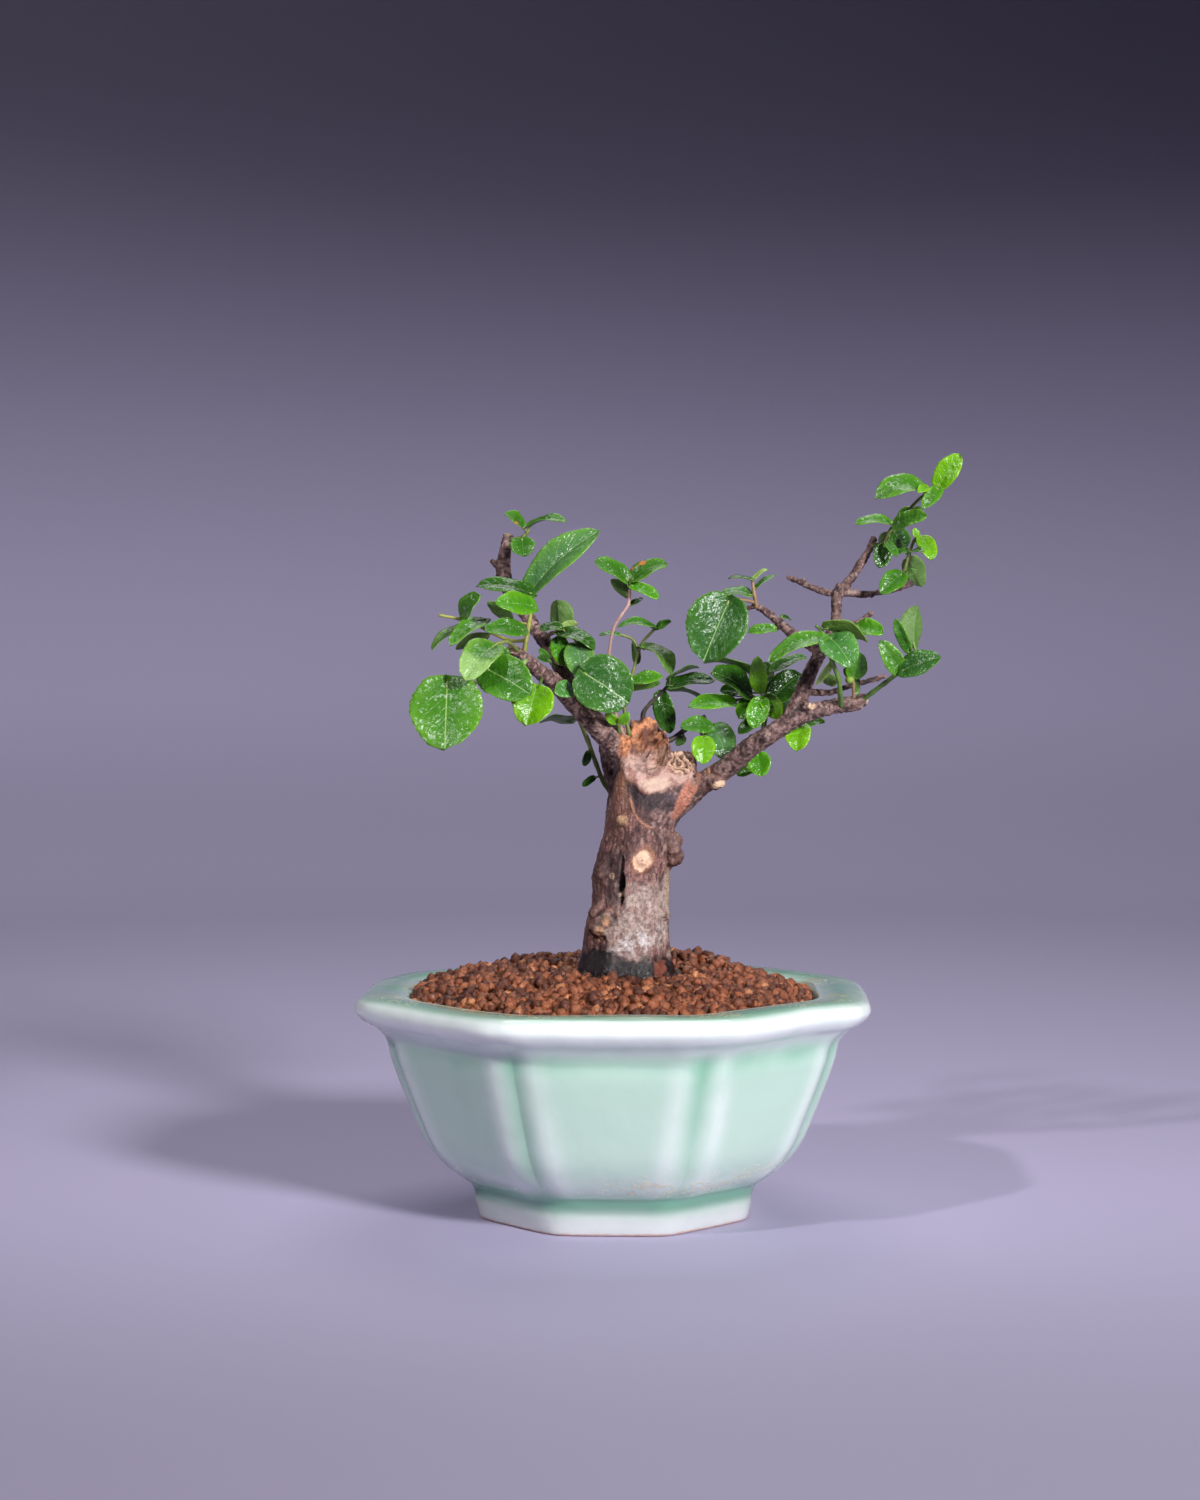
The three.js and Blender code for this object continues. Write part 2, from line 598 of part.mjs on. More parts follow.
// Each shoot: its stems as places with their radius, and its leaves as
// base, tip, width, the way the face looks, arch and fold.
const SHOOTS = {
  leaves_left_crown: {
    green: leafGreen,
    stems: [[[-31, 6.5, 200.6, 0.6], [-28, 5.5, 201, 0.6], [-25.8, 5, 202.6, 0.5]]],
    leaves: [
      [[-27.3, 5, 204], [-33, 4, 208.2], 6.2, [-0.2, -0.7, 1], 0.12, 14],
      [[-25.2, 5, 204.4], [-14.2, 3, 205.8], 5.4, [0, -0.5, 1], 0.13, 14],
      [[-27.6, 3.6, 200.6], [-27, 2, 195.4], 7.5, [0, -1, 0.2], 0.05, 8],
    ],
  },
  leaves_left_centre: {
    green: leafGreen,
    stems: [
      [[-27.2, -6.4, 165.6, 0.8], [-26.4, -6.6, 170.4, 0.7], [-25.6, -6, 174.6, 0.65], [-24.8, -5, 180, 0.6],
        [-24.1, -3.6, 186, 0.5]],
      [[-26.4, -6.4, 170.4, 0.6], [-31, -3.4, 170.4, 0.55], [-37, -3, 172.8, 0.5], [-43, -4.4, 176, 0.5],
        [-52.4, -6, 178, 0.45]],
    ],
    leaves: [
      [[-24.2, -3.6, 186.2], [-4.2, -7, 203.2], 11, [-0.55, -1, 0.35], 0.1, 20],
      [[-25, -4.5, 184.4], [-41.2, -5.4, 186.6], 7.6, [0, -0.75, 1], 0.1, 8],
      [[-24.6, -7.6, 180.8], [-35.4, -12, 181.2], 7.8, [0, -1, 0.4], 0.06, 8],
      [[-27.3, -9, 173.4], [-38.8, -11.5, 173.6], 6.5, [0, -1, 0.7], 0.08, 10],
      [[-31.4, -5, 176.8], [-38, -5.4, 181.8], 4.8, [0.3, 1, 0.6], 0.06, 10],
      [[-45.4, -6, 177.8], [-40, -9, 184], 7.2, [-0.5, -1, 0.5], 0.08, 10],
      [[-44.4, -4, 175], [-54.6, -8.6, 167.6], 5.6, [0.6, 0.6, 1], 0.08, 10],
      [[-39, -6, 176], [-49.2, -11, 169], 6.4, [-0.3, -1, 0.8], 0.1, 12],
      [[-38.4, -2.6, 171.4], [-47.4, -4, 167.8], 4.4, [0, 1, 0.8], 0.08, 10],
    ],
  },
  leaves_left_outer: {
    green: leafGreen,
    stems: [
      [[-26.5, -7.4, 164.4, 0.8], [-30, -11, 161, 0.65], [-36, -12.6, 159.6, 0.6], [-41, -13.4, 158, 0.55],
        [-49.6, -14, 158.4, 0.5]],
    ],
    leaves: [
      [[-50, -14.6, 157.4], [-50.7, -19, 137.8], 21, [0, -1, 0.15], 0.03, 6],
      [[-38, -14, 161.8], [-25, -17, 154.2], 13.8, [0, -1, 0.35], 0.07, 10],
      [[-36.4, -12.4, 158.2], [-38.8, -12, 155], 4, [-0.3, -1, 0], 0.1, 14],
    ],
  },
  leaves_left_tip: {
    green: leafGreen,
    stems: [[[-28.4, -7.2, 166.6, 0.7], [-31.6, -11, 169.8, 0.6], [-35, -12.4, 169.6, 0.5]]],
    leaves: [
      [[-35.6, -12.8, 168.8], [-44.6, -18, 158.4], 11.4, [-0.2, -1, 0.3], 0.14, 12],
      [[-34, -12, 168.2], [-32.2, -11, 161.8], 4, [0.8, -1, 0], 0.06, 14],
    ],
  },
  leaves_left_lime: {
    green: limeGreen,
    stems: [[[-21.6, -4.4, 159.4, 0.6], [-22.4, -8, 156.8, 0.5], [-22.4, -10.6, 155.8, 0.5]]],
    leaves: [[[-23.6, -11, 155.8], [-26.4, -13.4, 145], 12.6, [0.1, -1, 0.3], 0.12, 12]],
  },
  leaves_left_button: {
    green: leafGreen,
    stems: [[[-13.4, -2, 154.4, 0.6], [-13.4, -6, 155.4, 0.5]]],
    leaves: [[[-13.2, -6, 155.7], [-18, -9, 155], 5.8, [0, -1, 0.2], 0.1, 8]],
  },
  leaves_left_broad: {
    green: darkGreen,
    stems: [[[-9.6, -1, 150, 0.8], [-9.6, -6, 154, 0.6], [-8, -9, 158.6, 0.5]]],
    leaves: [[[-9, -9.4, 160.6], [4.4, -13, 151.6], 17.6, [0, -1, 0.3], 0.08, 10]],
    berries: [[-7.6, -8.4, 160.2, 0.8]],
  },
  leaves_left_small: {
    green: limeGreen,
    stems: [[[1.4, -2, 142.6, 0.6], [1.2, -4.4, 145.6, 0.5]]],
    leaves: [
      [[0.5, -4.4, 145.9], [-2.6, -6, 149], 3, [-0.4, -1, 0.2], 0.1, 14],
      [[1.9, -4.8, 145.9], [4.2, -6.4, 149], 3.2, [0.4, -1, 0.2], 0.1, 14],
    ],
  },
  leaves_left_back: {
    green: leafGreen,
    stems: [
      [[-21.2, 4.4, 170.4, 0.8], [-18.6, 2, 172.6, 0.65], [-15.6, 0.6, 172.6, 0.6], [-12, -0.6, 171, 0.5]],
    ],
    leaves: [
      [[-16.2, 3, 174], [-17, 2, 182.6], 8, [0.4, 1, 0.2], 0.06, 26],
      [[-15.8, 1.6, 173.8], [-11, 2.6, 175.6], 3.4, [0.2, 1, 0.6], 0.08, 10],
      [[-16, -1.4, 174.2], [-22.4, -1.4, 173.6], 4.6, [0, -0.7, 1], 0.12, 8],
      [[-16.6, -0.4, 172.2], [-5.8, -5, 167.8], 7, [0.1, -0.6, 1], 0.16, 10],
      [[-16.8, -0.4, 170.8], [-14.8, -3, 162.8], 6, [-0.2, -1, 0.2], 0.08, 10],
      [[-11, -2.2, 169], [-9.6, -5.6, 159], 9, [0, -1, 0.3], 0.1, 12],
    ],
  },
  leaves_left_fork: {
    green: leafGreen,
    stems: [[[-15.8, 1, 161.8, 0.6], [-18.4, -1, 163.6, 0.5], [-19.8, -2, 164.6, 0.45]]],
    leaves: [
      [[-20, -2, 165], [-22.6, -3, 168], 2.4, [-0.2, -1, 0.4], 0.08, 12],
      [[-20, -2.6, 164.5], [-23, -4.2, 165], 2.8, [0, -1, 0.5], 0.08, 12],
    ],
  },
  leaves_left_low: {
    green: darkGreen,
    stems: [
      [[2.4, 6, 120.6, 0.9], [-2.8, 10.6, 127.4, 0.8], [-5.4, 11, 133.4, 0.75], [-8, 9.6, 140.6, 0.75],
        [-10.8, 7.6, 147.4, 0.7]],
    ],
    leaves: [
      [[-13, 6.6, 145.8], [-22.2, 2, 146], 8.6, [0, 0.3, 1], 0.08, 8],
      [[-7.8, 8.6, 137], [-9.2, 8, 132.8], 2.7, [0.4, -1, 0.1], 0.08, 10],
      [[-6, 9.8, 129.4], [-9.6, 9, 126.8], 2.4, [0, -1, 0.5], 0.08, 10],
    ],
  },
  leaves_stump_tall: {
    green: leafGreen,
    stems: [
      [[3, -1, 141.4, 0.7], [-0.4, -3, 151, 0.6], [-1.5, -4, 159, 0.55], [-1.6, -5, 166, 0.5],
        [-0.4, -7, 173.5, 0.5], [1.7, -8, 177.4, 0.5], [4.2, -8, 181.4, 0.5], [4.6, -8, 187.4, 0.5]],
    ],
    leaves: [
      [[3.6, -8, 188.7], [-6, -9, 194.2], 6.8, [-0.1, -0.9, 0.9], 0.08, 12],
      [[5.6, -8.2, 188.6], [15.8, -9, 193.2], 7.2, [0, -0.8, 0.9], 0.14, 12],
      [[5.4, -9.2, 186.6], [13.3, -12, 182.8], 4.4, [0, -0.9, 0.8], 0.1, 12],
      [[3.8, -7, 184], [-1.2, -5, 188.5], 4, [0.3, 1, 0.5], 0.08, 10],
      [[4.8, -7, 180.9], [8.6, -6, 183], 2, [0, -0.8, 0.8], 0.08, 10],
    ],
  },
  leaves_stump_left: {
    green: leafGreen,
    stems: [
      [[4.6, 1, 141.6, 0.7], [3, 1, 150, 0.6], [4, 1, 155, 0.55], [5.6, 1, 161, 0.5], [8, 1, 169, 0.5],
        [11.6, 1, 173.4, 0.45]],
      [[7.4, 1, 167, 0.45], [5.6, 0.4, 170.6, 0.45], [2.4, -0.4, 172, 0.45]],
    ],
    leaves: [
      [[11.6, 0.4, 174], [1, -3.4, 174.4], 4.6, [0, -0.6, 1], 0.16, 14],
      [[1.6, -0.6, 172], [-4.6, -2, 172], 2.4, [0, -0.6, 1], 0.1, 8],
      [[12.8, 0.8, 174], [17, -0.6, 176.2], 3, [0, -0.8, 0.7], 0.08, 10],
      [[6.6, 2, 164], [5.6, 3, 170.2], 3, [0.5, 1, 0], 0.08, 10],
      [[8.6, 0, 168], [17, -4, 160], 9, [0.5, -0.5, 1], 0.2, 14],
      [[5.6, -1, 158.2], [14.6, -5.6, 159.4], 5.2, [0, -1, 0.8], 0.06, 10],
      [[5.4, 0.6, 156.2], [13.8, -1, 157.8], 3.2, [0, 1, 0.5], 0.06, 8],
    ],
  },
  leaves_stump_back: {
    green: darkGreen,
    stems: [
      [[8.6, 5, 142, 0.9], [8.6, 9, 148.4, 0.75], [10.9, 12, 151.8, 0.65], [13.7, 13, 154.4, 0.6],
        [16.6, 12.6, 157.6, 0.55]],
    ],
    leaves: [
      [[13.8, 13, 154.2], [16.8, 14, 142.6], 6.6, [-0.2, -1, 0.1], 0.06, 12],
      [[16.6, 13.4, 159], [25.4, 14, 162.4], 4.4, [0, 0.4, 1], 0.08, 10],
      [[17, 12, 156.8], [30, 9, 158.4], 7.4, [0, -0.6, 1], 0.08, 10],
      [[16.8, 12.4, 155.4], [26.2, 10, 153.2], 4.6, [0, 0.3, 1], 0.1, 8],
    ],
  },
  leaves_stump_right: {
    green: limeGreen,
    stems: [
      [[13.6, 4, 139.6, 1], [17, 5.4, 140.8, 0.85], [20.4, 6.6, 143.2, 0.8], [25, 7, 146.4, 0.75],
        [27.2, 6.8, 147.8, 0.6]],
      [[24.8, 6.8, 146, 0.5], [25.6, 3.4, 143.4, 0.5], [26.6, 0.4, 141.6, 0.45]],
      [[26.4, 6.8, 147.2, 0.5], [29.4, 5, 144.6, 0.45]],
    ],
    leaves: [
      [[28.6, 4, 144.6], [19.8, 1, 144.6], 6, [0, -1, 0.6], 0.08, 12],
      [[26.6, -0.4, 141], [26.4, -3, 133.4], 7.2, [0, -1, 0.2], 0.12, 12],
      [[20.8, 5.8, 141.4], [18.6, 7, 139], 3, [0, 1, 0.5], 0.06, 8],
      [[29.8, 4.4, 144.2], [34.2, 1.4, 135], 9.4, [0, -1, 0.3], 0.08, 10],
    ],
  },
  leaves_middle: {
    green: leafGreen,
    stems: [
      [[44, -5, 141, 0.9], [45, -1, 147, 0.8], [45, 1, 151.4, 0.7], [44, 0.6, 155, 0.6], [43, 3, 158.8, 0.5]],
      [[45, 1, 151.4, 0.6], [40.6, 4, 153, 0.55], [36.4, 5, 152.6, 0.5]],
      [[45, 1, 150.4, 0.6], [46.6, 4.6, 154, 0.55], [47, 5.4, 160.6, 0.5]],
    ],
    leaves: [
      [[43.4, -0.6, 156], [42.8, -3, 165.8], 5.4, [-0.2, -1, 0], 0.06, 18],
      [[44, -1.6, 152.6], [41.4, -3, 144], 6.8, [-0.1, -1, 0.3], 0.08, 12],
      [[45.2, -0.8, 153.2], [49, -2.4, 146.8], 6.6, [0.2, -1, 0.4], 0.08, 12],
      [[41.6, 2.6, 151.8], [37, 1, 147.2], 6.6, [-0.1, -1, 0.5], 0.08, 10],
      [[43.4, 2.2, 146.6], [37, 3, 142.6], 5, [0, -0.8, 0.8], 0.08, 10],
      [[41.4, 3.8, 160], [26.6, 2, 163.8], 6, [0, 0.3, 1], 0.12, 10],
      [[40.2, 3.4, 154.6], [29, 0, 161], 11.4, [-0.1, -0.8, 0.8], 0.08, 12],
      [[40.2, 5.6, 154.8], [31.5, 6, 155.4], 5.6, [0, -0.8, 0.6], 0.06, 10],
      [[35, 3.8, 151.6], [22, 2.4, 150.4], 6.4, [0, -0.9, 0.8], 0.1, 12],
      [[47.4, 3, 153.6], [56, 4.4, 160.4], 9, [0, -1, 0.5], 0.08, 10],
      [[46.6, 5.4, 152], [53, 8, 148.8], 6, [0, -1, 0.3], 0.08, 10],
      [[46, 7, 155.6], [45.2, 9.6, 164], 5, [-0.2, -1, 0], 0.08, 10],
      [[47.6, 6, 161.4], [57.4, 8, 165.4], 5, [0, -0.6, 1], 0.1, 10],
    ],
  },
  leaves_under_left: {
    green: leafGreen,
    stems: [[[42.6, -5.6, 138.6, 0.7], [42.4, -1, 136.8, 0.5]]],
    leaves: [
      [[41.4, 0.4, 136.4], [36.8, -1, 130], 7.4, [0, -1, 0.2], 0.06, 12],
      [[42.8, -2.4, 136.4], [43.9, -4, 129.6], 7.2, [0, -1, 0], 0.06, 12],
    ],
  },
  leaves_under_right: {
    green: limeGreen,
    stems: [[[54.6, -6, 146.4, 0.7], [55, -2, 145.4, 0.5]]],
    leaves: [
      [[54.6, -2, 145.4], [54.6, -4.6, 137.2], 8, [0, -1, 0.2], 0.08, 12],
      [[57, -1.6, 145.4], [63, -1, 146.2], 3, [0, -0.8, 0.8], 0.06, 10],
    ],
  },
  leaves_twig_left: {
    green: leafGreen,
    stems: [
      [[42.6, -4.4, 180, 0.7], [41.8, -4.8, 184, 0.6], [41.2, -4.8, 188.4, 0.45]],
      [[41.8, -4.6, 181.8, 0.55], [38, -6, 182.6, 0.5], [34.6, -6.6, 182.4, 0.5]],
    ],
    leaves: [
      [[34, -7, 181.8], [26.6, -10, 164.2], 18, [-0.1, -1, 0.2], 0.05, 20],
      [[40.4, -4.8, 184], [31.9, -6, 184], 7, [0, -0.45, 1], 0.12, 8],
      [[40.8, -5, 188.4], [34, -5.6, 188.9], 3.4, [0, -0.3, 1], 0.1, 8],
      [[41.7, -4.6, 188.8], [45.6, -4, 191.7], 2.8, [-0.3, -0.4, 1], 0.08, 8],
      [[42.2, -4.6, 186], [48.2, -4, 190], 2.8, [-0.4, -0.5, 1], 0.08, 8],
    ],
  },
  leaf_twig_middle: {
    green: limeGreen,
    stems: [[[48, -5, 173.6, 0.5], [47.8, -6.4, 173.4, 0.45]]],
    leaves: [[[47.6, -6.4, 173.8], [39.8, -8, 172.8], 4, [0, -0.9, 0.8], 0.08, 10]],
  },
  leaf_twig_upper: {
    green: leafGreen,
    stems: [[[49.2, -4.6, 176, 0.5], [50, -2.6, 177.6, 0.45]]],
    leaves: [[[49.9, -2.4, 177.4], [52.8, -1, 176.4], 2.2, [0, -0.8, 0.8], 0.08, 10]],
  },
  leaves_right_front: {
    green: leafGreen,
    stems: [
      [[67.6, -6.6, 150.8, 0.9], [67.5, -9, 154.6, 0.8], [67, -10, 159, 0.75], [65, -11, 164.4, 0.7],
        [64.2, -11, 168, 0.65], [62.4, -10.4, 172.4, 0.55], [60.3, -9.6, 174.8, 0.5]],
    ],
    leaves: [
      [[64.6, -11.4, 171], [71, -15, 162.4], 10.6, [0.1, -1, 0.3], 0.12, 10],
      [[63.4, -11, 174], [75.8, -14, 170], 7.8, [0.2, 0.7, 1], 0.1, 10],
      [[62, -11, 171], [46.1, -12.4, 164], 7, [-0.2, -0.8, 1], 0.13, 10],
      [[64.6, -10.4, 163.6], [60.2, -9.4, 157.2], 2.6, [0.8, -1, 0.3], 0.05, 6],
      [[66, -8.6, 158.4], [62.4, -7.6, 158.2], 3.8, [0, 1, 0.3], 0.06, 8],
    ],
  },
  leaves_right_berry: {
    green: leafGreen,
    stems: [[[71.6, -6, 151.4, 0.7], [71.4, -7.4, 157.4, 0.5], [71.2, -7.4, 159.6, 0.45]]],
    leaves: [
      [[71.4, -7.6, 159.6], [73.2, -9, 167], 6.4, [0.2, -1, 0.2], 0.06, 10],
      [[72, -6.6, 154.6], [72.6, -6, 159.6], 2.6, [0.8, -1, 0], 0.06, 8],
      [[70.6, -7.6, 159.4], [69, -8.4, 162.4], 2.6, [0, 1, 0.2], 0.06, 8],
    ],
    berries: [[70.2, -8.6, 158.6, 1.2]],
  },
  leaf_right_lime: {
    green: limeGreen,
    stems: [[[72.3, -6, 175.6, 0.6], [72.6, -7.6, 174.6, 0.5]]],
    leaves: [[[72.8, -7.8, 174.4], [80.4, -11, 172.4], 6.2, [0, -1, 0.5], 0.08, 12]],
  },
  leaves_right_end: {
    green: leafGreen,
    stems: [
      [[73.4, -6, 151.8, 0.9], [77, -7.4, 154.8, 0.75], [80.5, -8.4, 157.4, 0.75], [84, -9.6, 160.2, 0.7],
        [87, -10.4, 163.2, 0.6], [88.2, -10, 167.4, 0.5]],
      [[86.8, -10.2, 162.6, 0.6], [90.6, -9.4, 166.4, 0.5]],
    ],
    leaves: [
      [[85, -10.6, 161.4], [79.4, -12.4, 170.4], 6, [-0.2, -1, 0.4], 0.08, 14],
      [[86.2, -11.4, 161.4], [97.7, -13.8, 165.4], 7.8, [0.1, -1, 0.5], 0.08, 12],
      [[89.4, -9, 169.4], [90.6, -8, 181], 8, [-0.6, 1, 0], 0.08, 18],
      [[87.8, -10.8, 167.8], [83.9, -11.4, 177], 3.6, [-0.5, -1, 0], 0.06, 12],
    ],
  },
  leaves_top_east: {
    green: leafGreen,
    stems: [
      [[85.6, -2.4, 186.4, 0.7], [86.4, -4.6, 190.4, 0.65], [87.6, -5.4, 195, 0.6], [89.4, -5.6, 200, 0.5],
        [91.4, -5.6, 201.8, 0.45]],
    ],
    leaves: [
      [[91.8, -5.8, 200.8], [95, -8, 194.4], 5.6, [0.2, -1, 0.1], 0.08, 10],
      [[90, -5.8, 201.4], [89.6, -5.6, 204], 2.4, [0.4, -1, 0], 0.06, 8],
      [[88, -6.6, 196.4], [92.4, -10, 197], 3.4, [0, -0.9, 0.8], 0.08, 10],
      [[87.4, -5, 197.2], [83.6, -4, 196.4], 2.8, [0, -0.9, 0.8], 0.08, 10],
      [[88.4, -2.6, 194.2], [91.8, 0.6, 186.4], 6.8, [0.1, 1, 0.1], 0.06, 10],
      [[85.6, -5.6, 190], [79.5, -8, 184.4], 6.4, [-0.2, -1, 0.2], 0.08, 12],
      [[87.4, -5.6, 190.4], [90.4, -6.4, 191.2], 2.4, [0, -1, 0.4], 0.06, 8],
    ],
  },
  leaves_top: {
    green: leafGreen,
    stems: [
      [[76.6, -3, 198.6, 0.8], [80, -4.4, 199.6, 0.65], [82.6, -5, 203.6, 0.6], [86.4, -5.6, 207.6, 0.6],
        [91, -6, 212.6, 0.5], [96.4, -6, 216.4, 0.45]],
    ],
    leaves: [
      [[96.8, -6, 216.8], [103.2, -7, 226], 7, [-0.2, -1, 0.3], 0.05, 12],
      [[91.8, -6.8, 214.8], [77.8, -9, 212.6], 9.6, [-0.2, -0.9, 0.9], 0.24, 10],
      [[93.4, -8, 216], [90.6, -11.4, 214.4], 3.2, [0, -1, 0.4], 0.08, 10],
      [[96.6, -7.4, 215.4], [91.8, -10, 209.8], 4.4, [0.3, -1, 0.6], 0.08, 10],
      [[82.2, -5.6, 205.4], [72, -7, 205.2], 4.8, [-0.1, -0.8, 1], 0.12, 10],
      [[85.4, -4.4, 206.8], [91.8, -3.8, 209.6], 5, [-0.3, -0.9, 0.7], 0.08, 10],
      [[84.2, -7.6, 204.8], [93.3, -12, 207.6], 6, [0.1, -1, 0.4], 0.08, 10],
      [[83.4, -3.4, 203], [87, -1, 197.6], 6.4, [0, -1, 0.1], 0.06, 10],
      [[81.6, -3.6, 202], [79.4, -0.6, 199.4], 3.2, [0, -1, 0.2], 0.06, 10],
      [[80.4, -4.4, 198.4], [79.2, -5.4, 192], 5.6, [0, -1, 0], 0.06, 10],
      [[81.4, -5.6, 199.4], [84.4, -7.6, 195.4], 3, [0.3, -1, 0], 0.06, 10],
    ],
  },
};

// The whole object

function buildBonsai() {
  const meshes = [];
  const wood = woodSolid();
  const woodRoom = woodSolid(CLEARANCE);
  meshes.push(nodeOf('pot', potSolid(), celadon));
  meshes.push(nodeOf('drain_screen', screenSolid(), screenPlastic));
  meshes.push(nodeOf('soil', soilSolid().subtract(woodRoom), bakedClay));
  meshes.push(nodeOf('trunk', wood, bark));
  Object.entries(SHOOTS).forEach(([name, shoot]) => {
    meshes.push(nodeOf(name, shootSolid(shoot).subtract(woodRoom), shoot.green));
  });
  return meshes;
}

const bonsai = new THREE.Group();
bonsai.add(...buildBonsai());
const box = new THREE.Box3().setFromObject(bonsai);
const middle = box.getCenter(new THREE.Vector3());
bonsai.position.set(-middle.x, -middle.y, 0);

export default bonsai;
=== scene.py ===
# A sweet plum bonsai in its octagonal celadon pot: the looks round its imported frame.
# Lengths in the tables are millimetres from the pot's axis, +Z up, and the foot stands on z = 0.
import math

import bmesh
import bpy
import numpy as np
from mathutils import Matrix, Vector, kdtree


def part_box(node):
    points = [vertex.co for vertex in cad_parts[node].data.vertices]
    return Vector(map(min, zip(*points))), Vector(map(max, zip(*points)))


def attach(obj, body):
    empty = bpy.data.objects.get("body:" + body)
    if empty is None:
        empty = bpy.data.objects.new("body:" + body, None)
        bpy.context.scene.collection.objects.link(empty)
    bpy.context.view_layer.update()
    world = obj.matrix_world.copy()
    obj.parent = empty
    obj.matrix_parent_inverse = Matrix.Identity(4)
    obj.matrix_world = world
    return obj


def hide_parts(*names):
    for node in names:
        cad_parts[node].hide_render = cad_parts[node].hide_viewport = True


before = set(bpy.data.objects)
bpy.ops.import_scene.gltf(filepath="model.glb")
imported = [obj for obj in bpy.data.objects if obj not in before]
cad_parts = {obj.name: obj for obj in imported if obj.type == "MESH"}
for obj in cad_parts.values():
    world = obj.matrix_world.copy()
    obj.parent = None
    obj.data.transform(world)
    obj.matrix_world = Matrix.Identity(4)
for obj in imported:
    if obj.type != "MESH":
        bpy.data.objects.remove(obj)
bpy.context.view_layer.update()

MM = 0.001
POT_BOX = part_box("pot")
AXIS = np.array([(POT_BOX[0].x + POT_BOX[1].x) / 2, (POT_BOX[0].y + POT_BOX[1].y) / 2, 0.0]) / MM

# The camera, and the point from which the places of the plant are listed
EYE = np.array([-4.3, -750.0, 156.0])
CAMERA_LENS = 60.2
CAMERA_DIP = 1.4

# The pot
POT_SIDES = 8
POT_YAW = -2
POT_STEPS = 26
LIP_APOTHEM = 75
RIM_HEIGHT = 66.3
FOOT_APOTHEM = 40.2
FOOT_HEIGHT = 10
FLOOR_HEIGHT = 14
FOOT_RECESS = 6
FOOT_INNER = 33.5
DRAIN_RADIUS = 6
CREASE_DEPTH = 0.85
RIDGE_OFF = 6.8
RIDGE_LIFT = 0.35
CORNER_ROUND = 26
WALL_UNEVEN = 0.007
LIP_UNEVEN = 1.3

# The soil
SOIL_EDGE_HEIGHT = 63.6
SOIL_RISE = 6.4
SOIL_APOTHEM = 59
BED_SIDES = 96
BED_SINK = 2.0
GRAIN_PITCH = 1.98
GRAIN_JITTER = 0.9
GRAIN_SHAPES = 24
SECOND_LAYER = 0.22

# The plant
TRUNK_AXIS = 9
CROWN_OPENS = 8
CROWN_OPEN = 38
CROWN_SPREAD = 1.1
LEAF_THICK = 0.36
TRUNK_SIDES = 72
STUMP_SIDES = 56
LIMB_SIDES = 14
STEM_SIDES = 10
STALK_SIDES = 8
BRANCH_STEPS = 6
LEAFY_GREEN = (132, 160, 78)
BERRY_GREEN = (134, 168, 62)

# The relief of the wood, and how far its grain is drawn out along the limbs
WOOD_VOXEL = 0.43
WOOD_SMOOTHINGS = 3
GRAIN_DRAW = 0.62
LUMPS = 1.2
FURROWS = 0.3
FLAKES = 0.45
KNURLS = 1.7
TWISTS = 0.7
TORN = 4.2
RIPPLES = 3.2
HOLLOW_DEPTH = 3.4
KNOT_DEPTH = 0.8
SCAR_DEPTH = 0.7
BOWL_DEPTH = 1.8

# The lights: place, size, power and beam
LIGHTS = {
    "key": ((0.8, -1.16, 0.64), 0.26, 5, 75),
    "side": ((-0.74, -0.92, 0.96), 0.08, 1.4, 80),
    "top": ((0.05, 0.72, 1.3), 0.9, 5.6, 180),
}
LIGHTS_AIM = (0, 0, 0.11)
ROOM_TINT = (0.84, 0.84, 1.0, 1)
ROOM_GLOW = 0.13


# Places and small maths

def unit(vector):
    vector = np.asarray(vector, dtype=float)
    return vector / max(np.linalg.norm(vector), 1e-9)


def ramp(low, high, value):
    share = np.clip((np.asarray(value, dtype=float) - low) / (high - low), 0, 1)
    return share * share * (3 - 2 * share)


def sight_line(place):
    x, y, z = place[:3]
    stretch = (y - EYE[1]) / -EYE[1]
    return np.array([EYE[0] + (x - EYE[0]) * stretch, y, EYE[2] + (z - EYE[2]) * stretch])


# The listed depths open out away from the trunk, as the crown does.
def in_depth(place):
    x, y, z = place[:3]
    opened = 1 + CROWN_SPREAD * float(ramp(CROWN_OPENS, CROWN_OPEN, abs(x - TRUNK_AXIS)))
    return sight_line((x, y * opened, z))


def lattice(x, y, z, seed):
    mixed = (x * 374761393 + y * 668265263 + z * 1440662683 + seed * 1274126177) & 0xFFFFFFFF
    mixed = ((mixed ^ (mixed >> 13)) * 1274126177) & 0xFFFFFFFF
    return ((mixed ^ (mixed >> 16)) & 0xFFFF) / 65535.0


# Soft noise between 0 and 1, in patches of about the given size
def cloud(points, size, seed=0, octaves=3):
    total = np.zeros(len(points))
    weight = 0.0
    for octave in range(octaves):
        share = 0.5 ** octave
        scaled = points / size * 2 ** octave + 17.3 * octave
        cell = np.floor(scaled).astype(np.int64)
        inner = scaled - cell
        inner = inner * inner * (3 - 2 * inner)
        value = np.zeros(len(points))
        for corner in range(8):
            step = np.array([corner & 1, corner >> 1 & 1, corner >> 2 & 1])
            near = np.where(step, inner, 1 - inner).prod(axis=1)
            x, y, z = (cell + step).T
            value += near * lattice(x, y, z, seed + octave)
        total += value * share
        weight += share
    return total / weight


